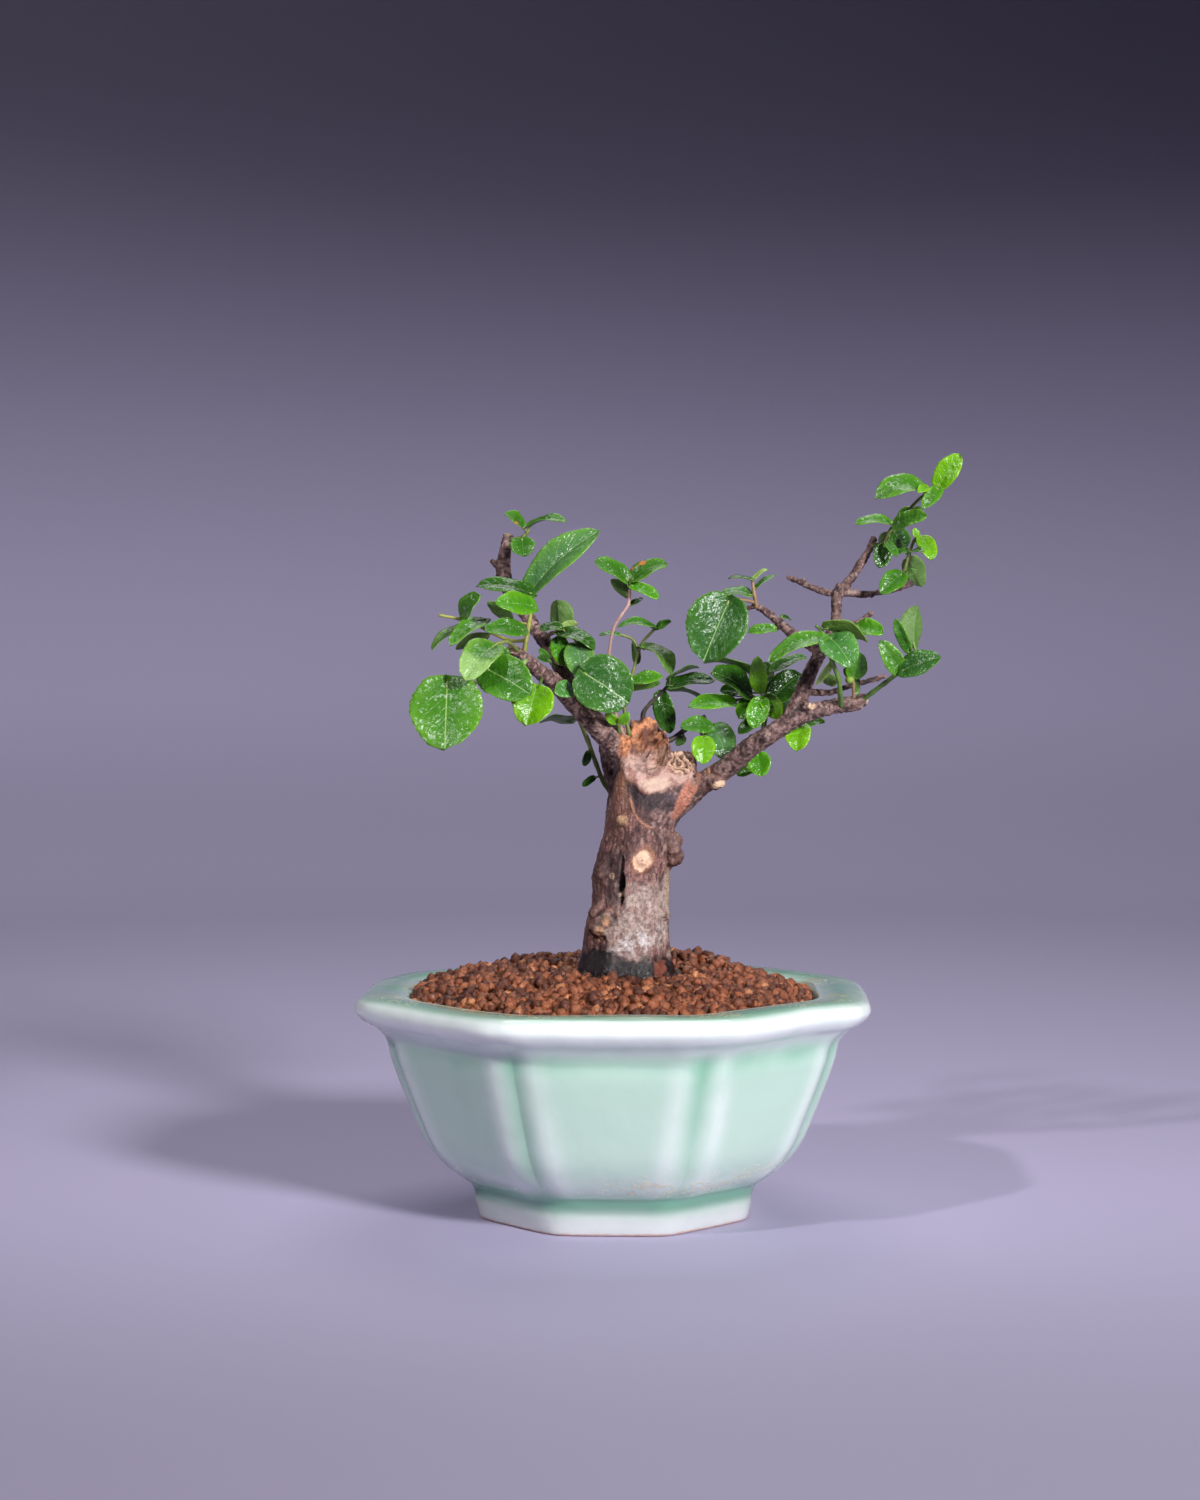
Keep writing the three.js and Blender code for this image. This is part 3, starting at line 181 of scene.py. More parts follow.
# Rows of numbers carried smoothly through more rows
def eased(rows, steps):
    rows = np.asarray(rows, dtype=float)
    padded = np.vstack([2 * rows[0] - rows[1], rows, 2 * rows[-1] - rows[-2]])
    made = []
    for i in range(1, len(padded) - 2):
        before, start, end, after = padded[i - 1:i + 3]
        for step in range(steps):
            t = step / steps
            made.append(0.5 * (2 * start + (end - before) * t
                               + (2 * before - 5 * start + 4 * end - after) * t * t
                               + (3 * start - before - 3 * end + after) * t ** 3))
    made.append(rows[-1])
    return np.array(made)


# The middle line of a limb or stem: places in depth, each with its radius
def branch_rows(places):
    return eased([[*in_depth(place), place[3]] for place in places], BRANCH_STEPS)


def colour(red, green, blue):
    channels = np.array([red, green, blue]) / 255
    return np.where(channels <= 0.04045, channels / 12.92, ((channels + 0.055) / 1.055) ** 2.4)


def blend(first, second, share):
    share = np.asarray(share, dtype=float)[..., None]
    return first * (1 - share) + second * share


# Layers of colour over a tint: a tone and its cover, or two tones, where the second shows, and their cover
def painted(tint, *layers):
    for tone, *second, cover in layers:
        layer = colour(*tone)
        if second:
            layer = blend(layer, colour(*second[0]), second[1])
        tint = blend(tint, layer, cover)
    return tint


# Meshes

# Points in millimetres, faces with their material, and values kept on each point
class Skin:
    def __init__(self):
        self.points = []
        self.faces = []
        self.kinds = []
        self.marks = {}
        self.count = 0

    def add(self, points, faces, kind=0, **marks):
        self.points.append(points)
        self.faces.extend([tuple(self.count + i for i in face) for face in faces])
        self.kinds.extend([kind] * len(faces))
        for name, values in marks.items():
            self.marks.setdefault(name, []).append((self.count, values))
        self.count += len(points)

    def mesh(self, name, finishes):
        made = bpy.data.meshes.new(name)
        points = (np.vstack(self.points) + AXIS) * MM
        made.from_pydata(points.tolist(), [], self.faces)
        for finish in finishes:
            made.materials.append(finish)
        made.polygons.foreach_set("material_index", self.kinds)
        made.polygons.foreach_set("use_smooth", [True] * len(self.faces))
        for mark, chunks in self.marks.items():
            keep_mark(made, mark, self.count, chunks)
        made.update()
        return made


def keep_mark(mesh, mark, count, chunks):
    vector = chunks[0][1].ndim == 2
    values = np.zeros((count, 3) if vector else count)
    for start, chunk in chunks:
        values[start:start + len(chunk)] = chunk
    if vector:
        layer = mesh.color_attributes.new(mark, "FLOAT_COLOR", "POINT")
        layer.data.foreach_set("color", np.hstack([values, np.ones((count, 1))]).ravel())
    else:
        layer = mesh.attributes.new(mark, "FLOAT", "POINT")
        layer.data.foreach_set("value", values.ravel())


def in_scene(name, data):
    made = bpy.data.objects.new(name, data)
    bpy.context.scene.collection.objects.link(made)
    return made


def piece(name, mesh, slot, *nodes):
    made = in_scene(name, mesh)
    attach(made, "root")
    if nodes:
        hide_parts(*nodes)
    return made


def ring_faces(rings, count, closed=False):
    faces = []
    last = rings if closed else rings - 1
    for ring in range(last):
        upper = (ring + 1) % rings
        for i in range(count):
            j = (i + 1) % count
            faces.append((ring * count + i, ring * count + j, upper * count + j, upper * count + i))
    return faces


# Faces between rings, with the first and the last ring closed
def capped_faces(rings, count):
    first = tuple(reversed(range(count)))
    last = tuple((rings - 1) * count + i for i in range(count))
    return ring_faces(rings, count) + [first, last]


# A tube round a row of points, its rings turned along the row without twisting
def tube(path, radii, sides):
    normal = np.array([0.31, -0.85, 0.42])
    turn = np.arange(sides) / sides * 2 * math.pi
    rings = []
    for i, centre in enumerate(path):
        tangent = unit(path[min(i + 1, len(path) - 1)] - path[max(i - 1, 0)])
        normal = unit(normal - tangent * normal.dot(tangent))
        across = np.cross(tangent, normal)
        rings.append(centre + radii[i] * (np.outer(np.cos(turn), normal) + np.outer(np.sin(turn), across)))
    return np.vstack(rings), capped_faces(len(rings), sides)


def points_and_faces(bm):
    points = np.array([v.co for v in bm.verts])
    faces = [[v.index for v in face.verts] for face in bm.faces]
    bm.free()
    return points, faces


def ball(place, radius):
    bm = bmesh.new()
    bmesh.ops.create_icosphere(bm, subdivisions=3, radius=radius)
    points, faces = points_and_faces(bm)
    return points + in_depth(place), faces


# Materials

# A material's nodes, made one after another
class Finish:
    def __init__(self, name):
        self.material = bpy.data.materials.new(name)
        self.material.use_nodes = True
        self.tree = self.material.node_tree
        self.tree.nodes.clear()
        self.place = self.node("ShaderNodeTexCoord").outputs["Object"]

    def node(self, kind, **settings):
        made = self.tree.nodes.new(kind)
        for name, value in settings.items():
            setattr(made, name, value)
        return made

    def feed(self, socket, value):
        if isinstance(value, bpy.types.NodeSocket):
            self.tree.links.new(value, socket)
        elif isinstance(value, (tuple, list, np.ndarray)):
            value = tuple(float(v) for v in value)
            socket.default_value = value + (1.0,) if len(value) == 3 and socket.type == "RGBA" else value
        else:
            socket.default_value = value

    def mark(self, name):
        return self.node("ShaderNodeAttribute", attribute_name=name).outputs["Fac"]

    def tint(self, name):
        return self.node("ShaderNodeAttribute", attribute_name=name).outputs["Color"]

    # The object's own x, y and z in metres
    def places(self):
        made = self.node("ShaderNodeSeparateXYZ")
        self.feed(made.inputs[0], self.place)
        return made.outputs

    # A texture over the object's place, with its grain in millimetres
    def texture(self, kind, size):
        made = self.node(kind)
        self.feed(made.inputs["Vector"], self.place)
        self.feed(made.inputs["Scale"], 1000 / size)
        return made

    def noise(self, size, detail=4.0, rough=0.55):
        made = self.texture("ShaderNodeTexNoise", size)
        self.feed(made.inputs["Detail"], detail)
        self.feed(made.inputs["Roughness"], rough)
        return made.outputs["Fac"]

    def cells(self, size):
        return self.texture("ShaderNodeTexVoronoi", size).outputs["Distance"]

    def spread(self, value, low, high, to_low=0.0, to_high=1.0):
        made = self.node("ShaderNodeMapRange", interpolation_type="SMOOTHSTEP")
        self.feed(made.inputs["Value"], value)
        self.feed(made.inputs["From Min"], low)
        self.feed(made.inputs["From Max"], high)
        self.feed(made.inputs["To Min"], to_low)
        self.feed(made.inputs["To Max"], to_high)
        return made.outputs["Result"]

    def maths(self, operation, first, second):
        made = self.node("ShaderNodeMath", operation=operation)
        self.feed(made.inputs[0], first)
        self.feed(made.inputs[1], second)
        return made.outputs[0]

    def times(self, first, second):
        return self.maths("MULTIPLY", first, second)

    def plus(self, first, second):
        return self.maths("ADD", first, second)

    def mix(self, share, first, second, way="MIX"):
        made = self.node("ShaderNodeMix", data_type="RGBA", blend_type=way)
        sockets = {socket.identifier: socket for socket in made.inputs}
        self.feed(sockets["Factor_Float"], share)
        self.feed(sockets["A_Color"], first)
        self.feed(sockets["B_Color"], second)
        return {socket.identifier: socket for socket in made.outputs}["Result_Color"]

    def relief(self, height, depth, before=None):
        made = self.node("ShaderNodeBump")
        self.feed(made.inputs["Height"], height)
        self.feed(made.inputs["Distance"], depth * MM)
        self.feed(made.inputs["Strength"], 1.0)
        if before is not None:
            self.feed(made.inputs["Normal"], before)
        return made.outputs["Normal"]

    def done(self, **values):
        shader = self.node("ShaderNodeBsdfPrincipled")
        output = self.node("ShaderNodeOutputMaterial")
        for name, value in values.items():
            self.feed(shader.inputs[name.replace("_", " ")], value)
        self.tree.links.new(shader.outputs["BSDF"], output.inputs["Surface"])
        return self.material


# The pot: octagonal rings over one profile, with a crease between two soft ridges at each corner

# Outer face from the foot up: apothem, height, crease, bulge, pale glaze, pooled glaze
OUTER_PROFILE = [
    (FOOT_APOTHEM - 1.2, 0, 0, 0, 0, 0),
    (FOOT_APOTHEM - 0.2, 0.8, 0, 0, 1, 0),
    (FOOT_APOTHEM + 0.6, 4.5, 0.1, 0.1, 0.8, 0.1),
    (FOOT_APOTHEM + 0.9, FOOT_HEIGHT - 2.6, 0.12, 0.1, 0.15, 0.6),
    (FOOT_APOTHEM + 2.2, FOOT_HEIGHT + 0.3, 0.25, 0.3, 0, 1),
    (45.2, 12.3, 0.45, 0.4, 0.1, 0.6),
    (49.2, 15.6, 0.7, 0.6, 0.4, 0.1),
    (53, 20, 0.9, 0.7, 0.2, 0.1),
    (55.9, 25, 1, 0.8, 0.12, 0.05),
    (59.1, 33, 1, 0.9, 0.08, 0.05),
    (62.1, 41, 1, 0.9, 0.05, 0.08),
    (64.5, 48, 0.95, 0.8, 0, 0.16),
    (66.1, 53.6, 0.8, 0.5, 0.05, 0.45),
    # the lip's glaze runs pale on its edge, and is painted paler under the lip as light where it lies in
    # shade
    (69.2, 57.2, 0.5, 0.2, 0.6, 0.1),
    (73, 59.6, 0.35, 0, 1, 0),
    (LIP_APOTHEM + 0.3, 62.4, 0.3, 0, 1, 0),
    (LIP_APOTHEM - 0.1, 65, 0.3, 0, 0.85, 0),
    (LIP_APOTHEM - 2.2, RIM_HEIGHT, 0.3, 0, 0.2, 0.5),
]

# Inner face from the rim down: apothem, height, crease, bulge, pale glaze, pooled glaze
INNER_PROFILE = [
    (66.5, 66.6, 0.3, 0, 0, 0.95),
    (61.6, 66, 0.2, 0, 0.3, 0.5),
    (60, 64.4, 0.1, 0, 0.3, 0.4),
    (57.6, 50, 0, 0, 0, 0.3),
    (49.8, 30, 0, 0, 0, 0.3),
    (41.5, 18.4, 0, 0, 0, 0.3),
    (34, 14.4, 0, 0, 0, 0.3),
]

# The rings under the floor, from the drain hole out to the foot: reach, height, round or octagonal
FOOT_RINGS = [
    (DRAIN_RADIUS + 0.8, FLOOR_HEIGHT, True),
    (DRAIN_RADIUS, FLOOR_HEIGHT - 0.8, True),
    (DRAIN_RADIUS, FOOT_RECESS, True),
    (FOOT_INNER - 1, FOOT_RECESS, False),
    (FOOT_INNER, FOOT_RECESS - 1, False),
    (FOOT_INNER + 0.6, 0.4, False),
    (FOOT_INNER + 1, 0, False),
]


# One octagonal ring, with its crease and ridge shares
def octagon_ring(apothem, height, crease, bulge):
    half_side = math.pi / POT_SIDES
    share = np.sin(np.linspace(-0.5, 0.5, POT_STEPS + 1)[:-1] * math.pi)
    half = apothem * math.tan(half_side)
    off = half * (1 - np.abs(share))
    groove = np.exp(-(np.sqrt(off ** 2 + 3) - 1.73) / 3)
    ridge = np.exp(-((off - RIDGE_OFF) / 3.4) ** 2)
    reach = apothem / math.cos(half_side)
    turn = np.arctan(share * math.tan(half_side))
    sides = np.arange(-2, 3)[:, None] * 2 * half_side
    rounded = (np.maximum(np.cos(turn - sides), 0) ** CORNER_ROUND).sum(axis=0) ** (1 / CORNER_ROUND)
    sunk = np.cos(turn) / rounded - CREASE_DEPTH * crease * groove / reach
    push = bulge * (1 - share ** 2) + RIDGE_LIFT * crease * ridge
    points = []
    for side in range(POT_SIDES):
        angle = side / POT_SIDES * 2 * math.pi + math.radians(POT_YAW)
        out = np.array([math.cos(angle), math.sin(angle), 0])
        along = np.array([-math.sin(angle), math.cos(angle), 0])
        ring = np.outer(apothem + push, out) + np.outer(half * share, along)
        points.append(ring * sunk[:, None])
    points = np.vstack(points)
    points[:, 2] = height
    return points, np.tile(groove, POT_SIDES), np.tile(ridge, POT_SIDES)


def foot_ring(reach, height, is_round):
    points = octagon_ring(reach, height, 0, 0)[0]
    if is_round:
        points[:, :2] *= reach / np.linalg.norm(points[:, :2], axis=1)[:, None]
    return points


def make_pot(finish):
    count = POT_SIDES * POT_STEPS
    rings = []
    marks = {"pale": [], "pooled": [], "bare": [], "inside": []}

    def keep(points, pale, pooled, bare, inside):
        rings.append(points)
        for name, value in zip(marks, (pale, pooled, bare, inside)):
            marks[name].append(np.broadcast_to(value, count))

    outer = eased(OUTER_PROFILE, 5)
    walls = np.vstack([outer, eased(INNER_PROFILE, 4)])
    for i, (apothem, height, crease, bulge, light, green) in enumerate(walls):
        points, groove, ridge = octagon_ring(apothem, height, max(crease, 0), max(bulge, 0))
        # the throwing leaves the walls and the lip a little uneven
        uneven = cloud(points, 34, 5, 2) - 0.5
        points[:, :2] *= 1 + WALL_UNEVEN * (uneven * ramp(2, 20, height))[:, None]
        wavy = cloud(points * (1, 1, 0), 24, 6, 2) - 0.5
        points[:, 2] += LIP_UNEVEN * wavy * float(ramp(50, 60, height))
        # the glaze runs thin on the ridges and pools in the creases
        run = cloud(points, 17, 9, 2)
        body = ramp(9, 14, height) * (1 - ramp(52, 60, height))
        pale = light + 0.5 * ridge * crease * body * (0.3 + 1.2 * run)
        soft = groove ** 1.3 * (0.4 + 0.6 * run)
        pooled = green + 0.52 * soft * crease * (0.2 + 0.8 * body)
        bare = 1 - ramp(0.35, 1.3, points[:, 2])
        keep(points, np.clip(pale, 0, 1), np.clip(pooled, 0, 1), bare, float(i >= len(outer)))
    for row in FOOT_RINGS:
        keep(foot_ring(*row), 0.0, 0.0, float(row[1] <= FOOT_RECESS), 1.0)
    skin = Skin()
    values = {name: np.concatenate(chunks) for name, chunks in marks.items()}
    skin.add(np.vstack(rings), ring_faces(len(rings), count, closed=True), **values)
    return piece("pot_glazed", skin.mesh("pot_glazed", [finish]), "celadon_glaze", "pot")


def celadon_finish():
    f = Finish("celadon glaze")
    broad = f.noise(26, 3)
    middle = f.noise(7, 4)
    pooled = f.plus(f.mark("pooled"), f.spread(broad, 0.35, 0.75, -0.12, 0.16))
    body = f.mix(f.spread(pooled, 0.0, 1.0), colour(178, 206, 191), colour(118, 175, 147))
    pale = f.times(f.mark("pale"), f.spread(middle, 0.2, 0.8, 0.75, 0.98))
    body = f.mix(pale, body, colour(234, 238, 238))
    # fine pin marks and dust in the glaze
    pins = f.spread(f.cells(2.6), 0.05, 0.13, 0.22, 0.0)
    body = f.mix(f.times(pins, f.spread(f.noise(9), 0.5, 0.7)), body, colour(120, 150, 132))
    # lime and earth left by watering: inside the rim and low on the body
    place = f.places()
    level = f.times(place["Z"], 1000.0)
    low = f.times(f.spread(level, 11.5, 14.0), f.spread(level, 22.0, 16.0))
    rim = f.times(f.mark("inside"), f.spread(level, 61.0, 64.0))
    across = f.maths("SUBTRACT", f.times(place["X"], 1000.0), float(AXIS[0]))
    low = f.times(low, f.spread(across, -8.0, 6.0, 0.15, 1.0))
    low = f.times(low, f.spread(f.noise(8, 3), 0.42, 0.56))
    flecks = f.spread(f.noise(1.2, 4, 0.7), 0.5, 0.6)
    lime = f.times(f.plus(low, f.times(rim, f.spread(f.noise(15, 3), 0.52, 0.66))), flecks)
    body = f.mix(lime, body, colour(226, 214, 182))
    stain = f.times(rim, f.spread(f.noise(20, 2), 0.5, 0.62, 0.0, 0.35))
    body = f.mix(stain, body, colour(196, 184, 130))
    # painted shade: the glaze is darkened low on the foot
    body = f.mix(f.spread(level, 11.0, 8.0, 0.0, 0.4), body, (0.34, 0.3, 0.32), "MULTIPLY")
    # the unglazed foot
    clay = f.mix(f.noise(3, 5), colour(214, 190, 180), colour(178, 146, 134))
    bare = f.spread(f.plus(f.mark("bare"), f.spread(f.noise(4), 0.3, 0.7, -0.25, 0.25)), 0.35, 0.6)
    body = f.mix(bare, body, clay)
    rough = f.plus(f.times(lime, 0.4), f.spread(f.noise(5, 3), 0.3, 0.7, 0.16, 0.24))
    rough = f.plus(rough, f.times(bare, 0.55))
    normal = f.relief(f.noise(13, 2), 0.3)
    normal = f.relief(f.plus(f.times(f.noise(0.9, 2), 0.4), f.times(lime, 1.6)), 0.05, normal)
    return f.done(Base_Color=body, Roughness=rough, Normal=normal, Coat_Weight=0.45, Coat_Roughness=0.09,
                  IOR=1.5)


def screen_finish():
    f = Finish("screen plastic")
    body = f.mix(f.noise(2.5, 4), colour(38, 40, 38), colour(62, 64, 60))
    rough = f.spread(f.noise(1.2), 0.3, 0.7, 0.45, 0.7)
    return f.done(Base_Color=body, Roughness=rough, Normal=f.relief(f.noise(0.6, 2), 0.04))


# The soil: a mound of baked clay grains

# Rises of the mound: middle x, y, height and spread
MOUND_BUMPS = [
    (24, 20, 4, 9),
    (-10, 26, 2, 14),
]
TRUNK_FOOT = (3.5, 0, 16.7, 15.5)


def mound_height(x, y):
    reach = np.minimum(np.hypot(x, y) / 60, 1)
    height = SOIL_EDGE_HEIGHT + SOIL_RISE * (1 - reach ** 4) + y / 60 - x / 60
    for middle_x, middle_y, rise, spread in MOUND_BUMPS:
        away = (x - middle_x) ** 2 + (y - middle_y) ** 2
        height = height + rise * np.exp(-away / (2 * spread * spread))
    return height


# How far out a place is, measured square to the side of the octagon that it faces
def octagon_reach(x, y):
    sector = 2 * math.pi / POT_SIDES
    angle = np.arctan2(y, x) - math.radians(POT_YAW)
    within = (angle + sector / 2) % sector - sector / 2
    return np.hypot(x, y) * np.cos(within)


# How far a place is from the middle of the trunk's foot, where 1 is its edge
def foot_reach(x, y):
    middle_x, middle_y, half_x, half_y = TRUNK_FOOT
    return np.hypot((x - middle_x) / half_x, (y - middle_y) / half_y)


# Grains of a few bent forms, all with the same faces
def grain_forms(dice):
    bm = bmesh.new()
    bmesh.ops.create_cube(bm, size=1.6)
    bmesh.ops.subdivide_edges(bm, edges=bm.edges, cuts=1, use_grid_fill=True, smooth=0.9)
    points, faces = points_and_faces(bm)
    forms = []
    for _ in range(GRAIN_SHAPES):
        bent = points + dice.uniform(-0.2, 0.2, points.shape)
        forms.append(bent * dice.uniform(0.72, 1.12, 3))
    return forms, faces


# The closed body under the grains, from the pot's floor up its wall and over the mound
def soil_bed():
    turn = np.arange(BED_SIDES) / BED_SIDES * 2 * math.pi
    flat = np.stack([np.cos(turn), np.sin(turn)], axis=1)
    reach = 1 / octagon_reach(flat[:, 0], flat[:, 1])
    rings = []
    for apothem, height, *_ in reversed(INNER_PROFILE[2:]):
        level = min(max(height, FLOOR_HEIGHT + 2), SOIL_EDGE_HEIGHT - 2)
        ring = flat * (reach * (apothem - 0.7))[:, None]
        rings.append(np.column_stack([ring, np.full(BED_SIDES, level)]))
    for share in np.linspace(1, 0.02, 26):
        ring = flat * (reach * SOIL_APOTHEM * share)[:, None]
        rings.append(np.column_stack([ring, mound_height(ring[:, 0], ring[:, 1]) - BED_SINK]))
    bed = np.vstack(rings)
    bed[:, 2] += (cloud(bed, 2.2, 3) - 0.5) * 1.1 * (bed[:, 2] > SOIL_EDGE_HEIGHT - 3)
    return bed, capped_faces(len(rings), BED_SIDES)


def make_soil(finish):
    dice = np.random.default_rng(41)
    skin = Skin()
    bed, faces = soil_bed()
    # the bed under the grains takes the darkest tone and is darkened as if wet: painted shade in the gaps
    # between the grains
    skin.add(bed, faces, tone=np.zeros(len(bed)), wet=np.full(len(bed), 0.4))
    forms, faces = grain_forms(dice)
    rows = int(2 * SOIL_APOTHEM * 1.09 / GRAIN_PITCH)
    for row in range(-rows // 2, rows // 2 + 1):
        for column in range(-rows // 2, rows // 2 + 1):
            for layer in range(2):
                if layer and dice.random() > SECOND_LAYER:
                    continue
                x = (column + 0.5 * (row % 2)) * GRAIN_PITCH + dice.uniform(-GRAIN_JITTER, GRAIN_JITTER)
                y = row * GRAIN_PITCH * 0.87 + dice.uniform(-GRAIN_JITTER, GRAIN_JITTER)
                near = float(foot_reach(x, y))
                if octagon_reach(x, y) > SOIL_APOTHEM - 0.6 or near < 0.93:
                    continue
                size = dice.uniform(0.62, 1.34) * (0.95 if layer else 1.04)
                turned = Matrix.Rotation(dice.uniform(0, 6.28), 3, unit(dice.normal(size=3)))
                points = forms[dice.integers(len(forms))] @ np.array(turned) * size
                lift = 1.0 if layer else -0.5
                height = float(mound_height(x, y)) + lift + dice.uniform(-0.6, 0.75)
                points += (x, y, height)
                wet = float(1 - ramp(0.95, 1.22, near + dice.uniform(-0.08, 0.08))) * (y < 4)
                tone = dice.random()
                skin.add(points, faces, tone=np.full(len(points), tone), wet=np.full(len(points), wet))
    return piece("soil_grains", skin.mesh("soil_grains", [finish]), "baked_clay", "soil")


def clay_finish():
    f = Finish("baked clay grains")
    tone = f.mark("tone")
    body = f.mix(f.spread(tone, 0.05, 0.9), colour(84, 40, 24), colour(164, 94, 60))
    body = f.mix(f.spread(tone, 0.93, 0.98), body, colour(198, 130, 86))
    body = f.mix(f.spread(f.noise(0.8, 5, 0.65), 0.35, 0.7, 0.0, 0.65), body, colour(70, 36, 24))
    # darker where the grains are wet near the trunk, and as painted shade on the bed
    body = f.mix(f.times(f.mark("wet"), 0.88), body, colour(26, 18, 18))
    rough = f.spread(f.noise(1.1, 3), 0.35, 0.65, 0.12, 0.5)
    normal = f.relief(f.noise(0.55, 4, 0.65), 0.35)
    return f.done(Base_Color=body, Roughness=rough, Normal=normal, IOR=1.5)


# The wood: trunk, sawn stumps, limbs and twigs in one skin

# Trunk from its buried end up: height, left, right, front, back
TRUNK_SECTIONS = [
    (48, -7, 14, -10, 11),
    (56, -11.5, 18.5, -14, 14),
    (64, -13.2, 20.2, -15.5, 15.5),
    (70, -12.2, 19, -14.6, 14.8),
    (76.1, -10.3, 17.2, -13, 13.4),
    (81.8, -9.1, 16.6, -12.3, 12.8),
    (86.9, -8.2, 16.6, -12, 12.4),
    (93.7, -6.7, 16.6, -11.5, 12),
    (100.6, -6.5, 16.9, -11.2, 11.6),
    (106.6, -4.9, 17.6, -11, 11.2),
    (113.5, -3.1, 18.1, -11, 11),
    (118, -2.6, 20, -11, 10.8),
    (123, -2, 23.2, -11, 10.4),
    (128, -1, 24.7, -10.5, 10),
    (133, 0.2, 24.5, -9.6, 9.5),
    (137, 0.9, 24.3, -8.6, 9),
]

# The taller sawn stump on the trunk's left: height, left, right, front, back
STUMP_SECTIONS = [
    (118, 0.5, 16, -8, 9),
    (128, 0.6, 16.6, -8.6, 9),
    (138, 1.4, 16.8, -8.4, 8.8),
    (143, 2, 15.8, -8, 8.4),
    (146.6, 3.2, 13.8, -6.5, 7.6),
]

# Limbs and twigs: places with their radius
LIMBS = {
    "left_limb": [
        (4.2, 3, 134.6, 4.2), (0.8, 1, 139.8, 4.2), (-2.8, 0, 142.8, 3.9), (-7.3, -0.5, 147.3, 3.4),
        (-11.8, -1, 151.7, 3.1), (-14.8, -1.5, 155, 2.9), (-18.7, -3, 158.6, 2.5), (-22.2, -4.5, 161, 2.2),
        (-25.2, -6, 163.8, 1.9), (-28.2, -7, 166.1, 1.7), (-31.5, -8, 168.2, 1.6),
    ],
    "left_upright": [
        (-12.6, -0.5, 154.5, 2.5), (-16.3, 1.5, 163.1, 2.4), (-19.2, 3.5, 167.6, 2.2), (-21.5, 5, 171, 2.1),
        (-24, 6.5, 174.5, 2), (-27, 7.5, 179, 2.1), (-31, 8, 185, 2.3), (-32.9, 8, 189, 2.4),
        (-33, 8, 193.5, 2.1), (-32.4, 7.5, 198, 1.8), (-31.6, 7, 202.2, 1.7),
    ],
    "left_spur": [(-33, 8, 189.8, 1.2), (-35, 8, 192.5, 0.95), (-36.9, 8, 194.5, 0.75)],
    "right_limb": [
        (15, -1, 119, 4.6), (21, -3, 123.5, 4), (25.6, -4, 127.2, 3.5), (30, -5, 129.9, 3.2),
        (35.5, -6, 134, 3.1), (40.5, -6.5, 138.4, 3), (46.5, -7, 142.3, 2.8), (51, -7, 145.3, 2.7),
        (55.5, -7, 147.7, 2.6), (60, -6.5, 149.3, 2.4), (64.5, -6, 150.5, 2.3), (69, -6, 151.2, 2.2),
        (73.7, -6, 151.8, 2.2),
    ],
    "right_upright": [
        (52, -7, 146, 2.6), (55, -7, 152, 2.5), (57.6, -6.8, 158.5, 2.2), (60.4, -6.5, 164.6, 2),
        (62.7, -6, 168.7, 1.8), (65, -5.5, 173.5, 1.6), (66.2, -5, 177.2, 1.5), (66.4, -4.5, 182.6, 1.6),
        (67.6, -4, 187, 1.5),
    ],
    "top_left_twig": [
        (66.6, -4, 184, 1.1), (62, -3.5, 185.2, 1), (58, -3, 186.6, 0.9), (54.5, -2, 188.3, 0.85),
        (51.6, -1.5, 189.4, 0.85),
    ],
    "top_left_bud": [(56, -2.5, 187.3, 0.8), (56.9, -2.7, 189, 0.6)],
    "top_right_twig": [
        (67, -4, 184.8, 1.6), (70.6, -4, 188.8, 1.35), (73.4, -3.5, 193, 1.2), (75.8, -3, 197, 1.1),
        (77.6, -3, 201.3, 1.05),
    ],
    "top_east_twig": [
        (67.2, -4, 184.9, 1.3), (74.9, -3, 184.2, 1.15), (80, -2.5, 184.9, 1), (84.5, -2, 186, 0.95),
        (89.2, -2, 187.7, 0.95),
    ],
    "middle_twig": [
        (61.5, -6, 167, 1.7), (58, -6, 169.4, 1.55), (54.3, -5.6, 171.5, 1.5), (49.5, -5, 175.6, 1.35),
        (45.9, -4.6, 178.4, 1.2), (42.6, -4.2, 180.5, 0.95), (39, -4, 179.9, 0.75),
    ],
    "middle_spur": [(49, -5, 175, 0.8), (47.9, -5, 173, 0.6)],
    "cut_twig": [(65, -5.4, 173.4, 0.95), (72.5, -6, 175.7, 0.8), (77.2, -6, 178.8, 0.75)],
    "back_twig": [
        (57.6, -6.6, 155, 1.1), (64.5, -4, 155, 0.95), (70.4, -2, 156.8, 0.9), (81.2, 1, 159.8, 0.8),
    ],
    "back_stub": [(4, 5, 120, 2.6), (-0.4, 8, 129, 2.3), (-2.6, 8.4, 138, 2), (-2.6, 5, 145, 1.4)],
}

# Limbs whose ends were sawn clean and show pale wood
SAWN_ENDS = ("left_limb", "right_limb", "left_upright")

# Knobs, burls and healed cuts: middle, radius
KNOBS = [
    (2, -9.8, 117, 1.8),
    (8.2, -8.9, 105.1, 3.5),
    (-3.2, -5, 101.4, 3.5),
    (-2.6, -2, 95.4, 3.6),
    (-4.6, -8.4, 84.8, 3.4),
    (-2.8, -9.6, 88, 2.2),
    (-5.6, -6.4, 88.6, 2.2),
    (17.2, -4, 110, 3.1),
    (17.7, -3, 105.6, 3.1),
    (17.6, -5.4, 107.8, 2.2),
    (30.8, -6.4, 128, 2.2),
    (74, -6, 152.6, 2),
    (15.4, -6, 88.4, 1.9),
    (57.4, -8.2, 151, 1.7),
    (36, -7.6, 135.4, 1.3),
    (45.4, -8.6, 141.2, 1.2),
    (-9, -3, 148.4, 1.2),
    (-30.6, 9.4, 184.6, 1.5),
    (64.2, -6.6, 171.6, 1.1),
]

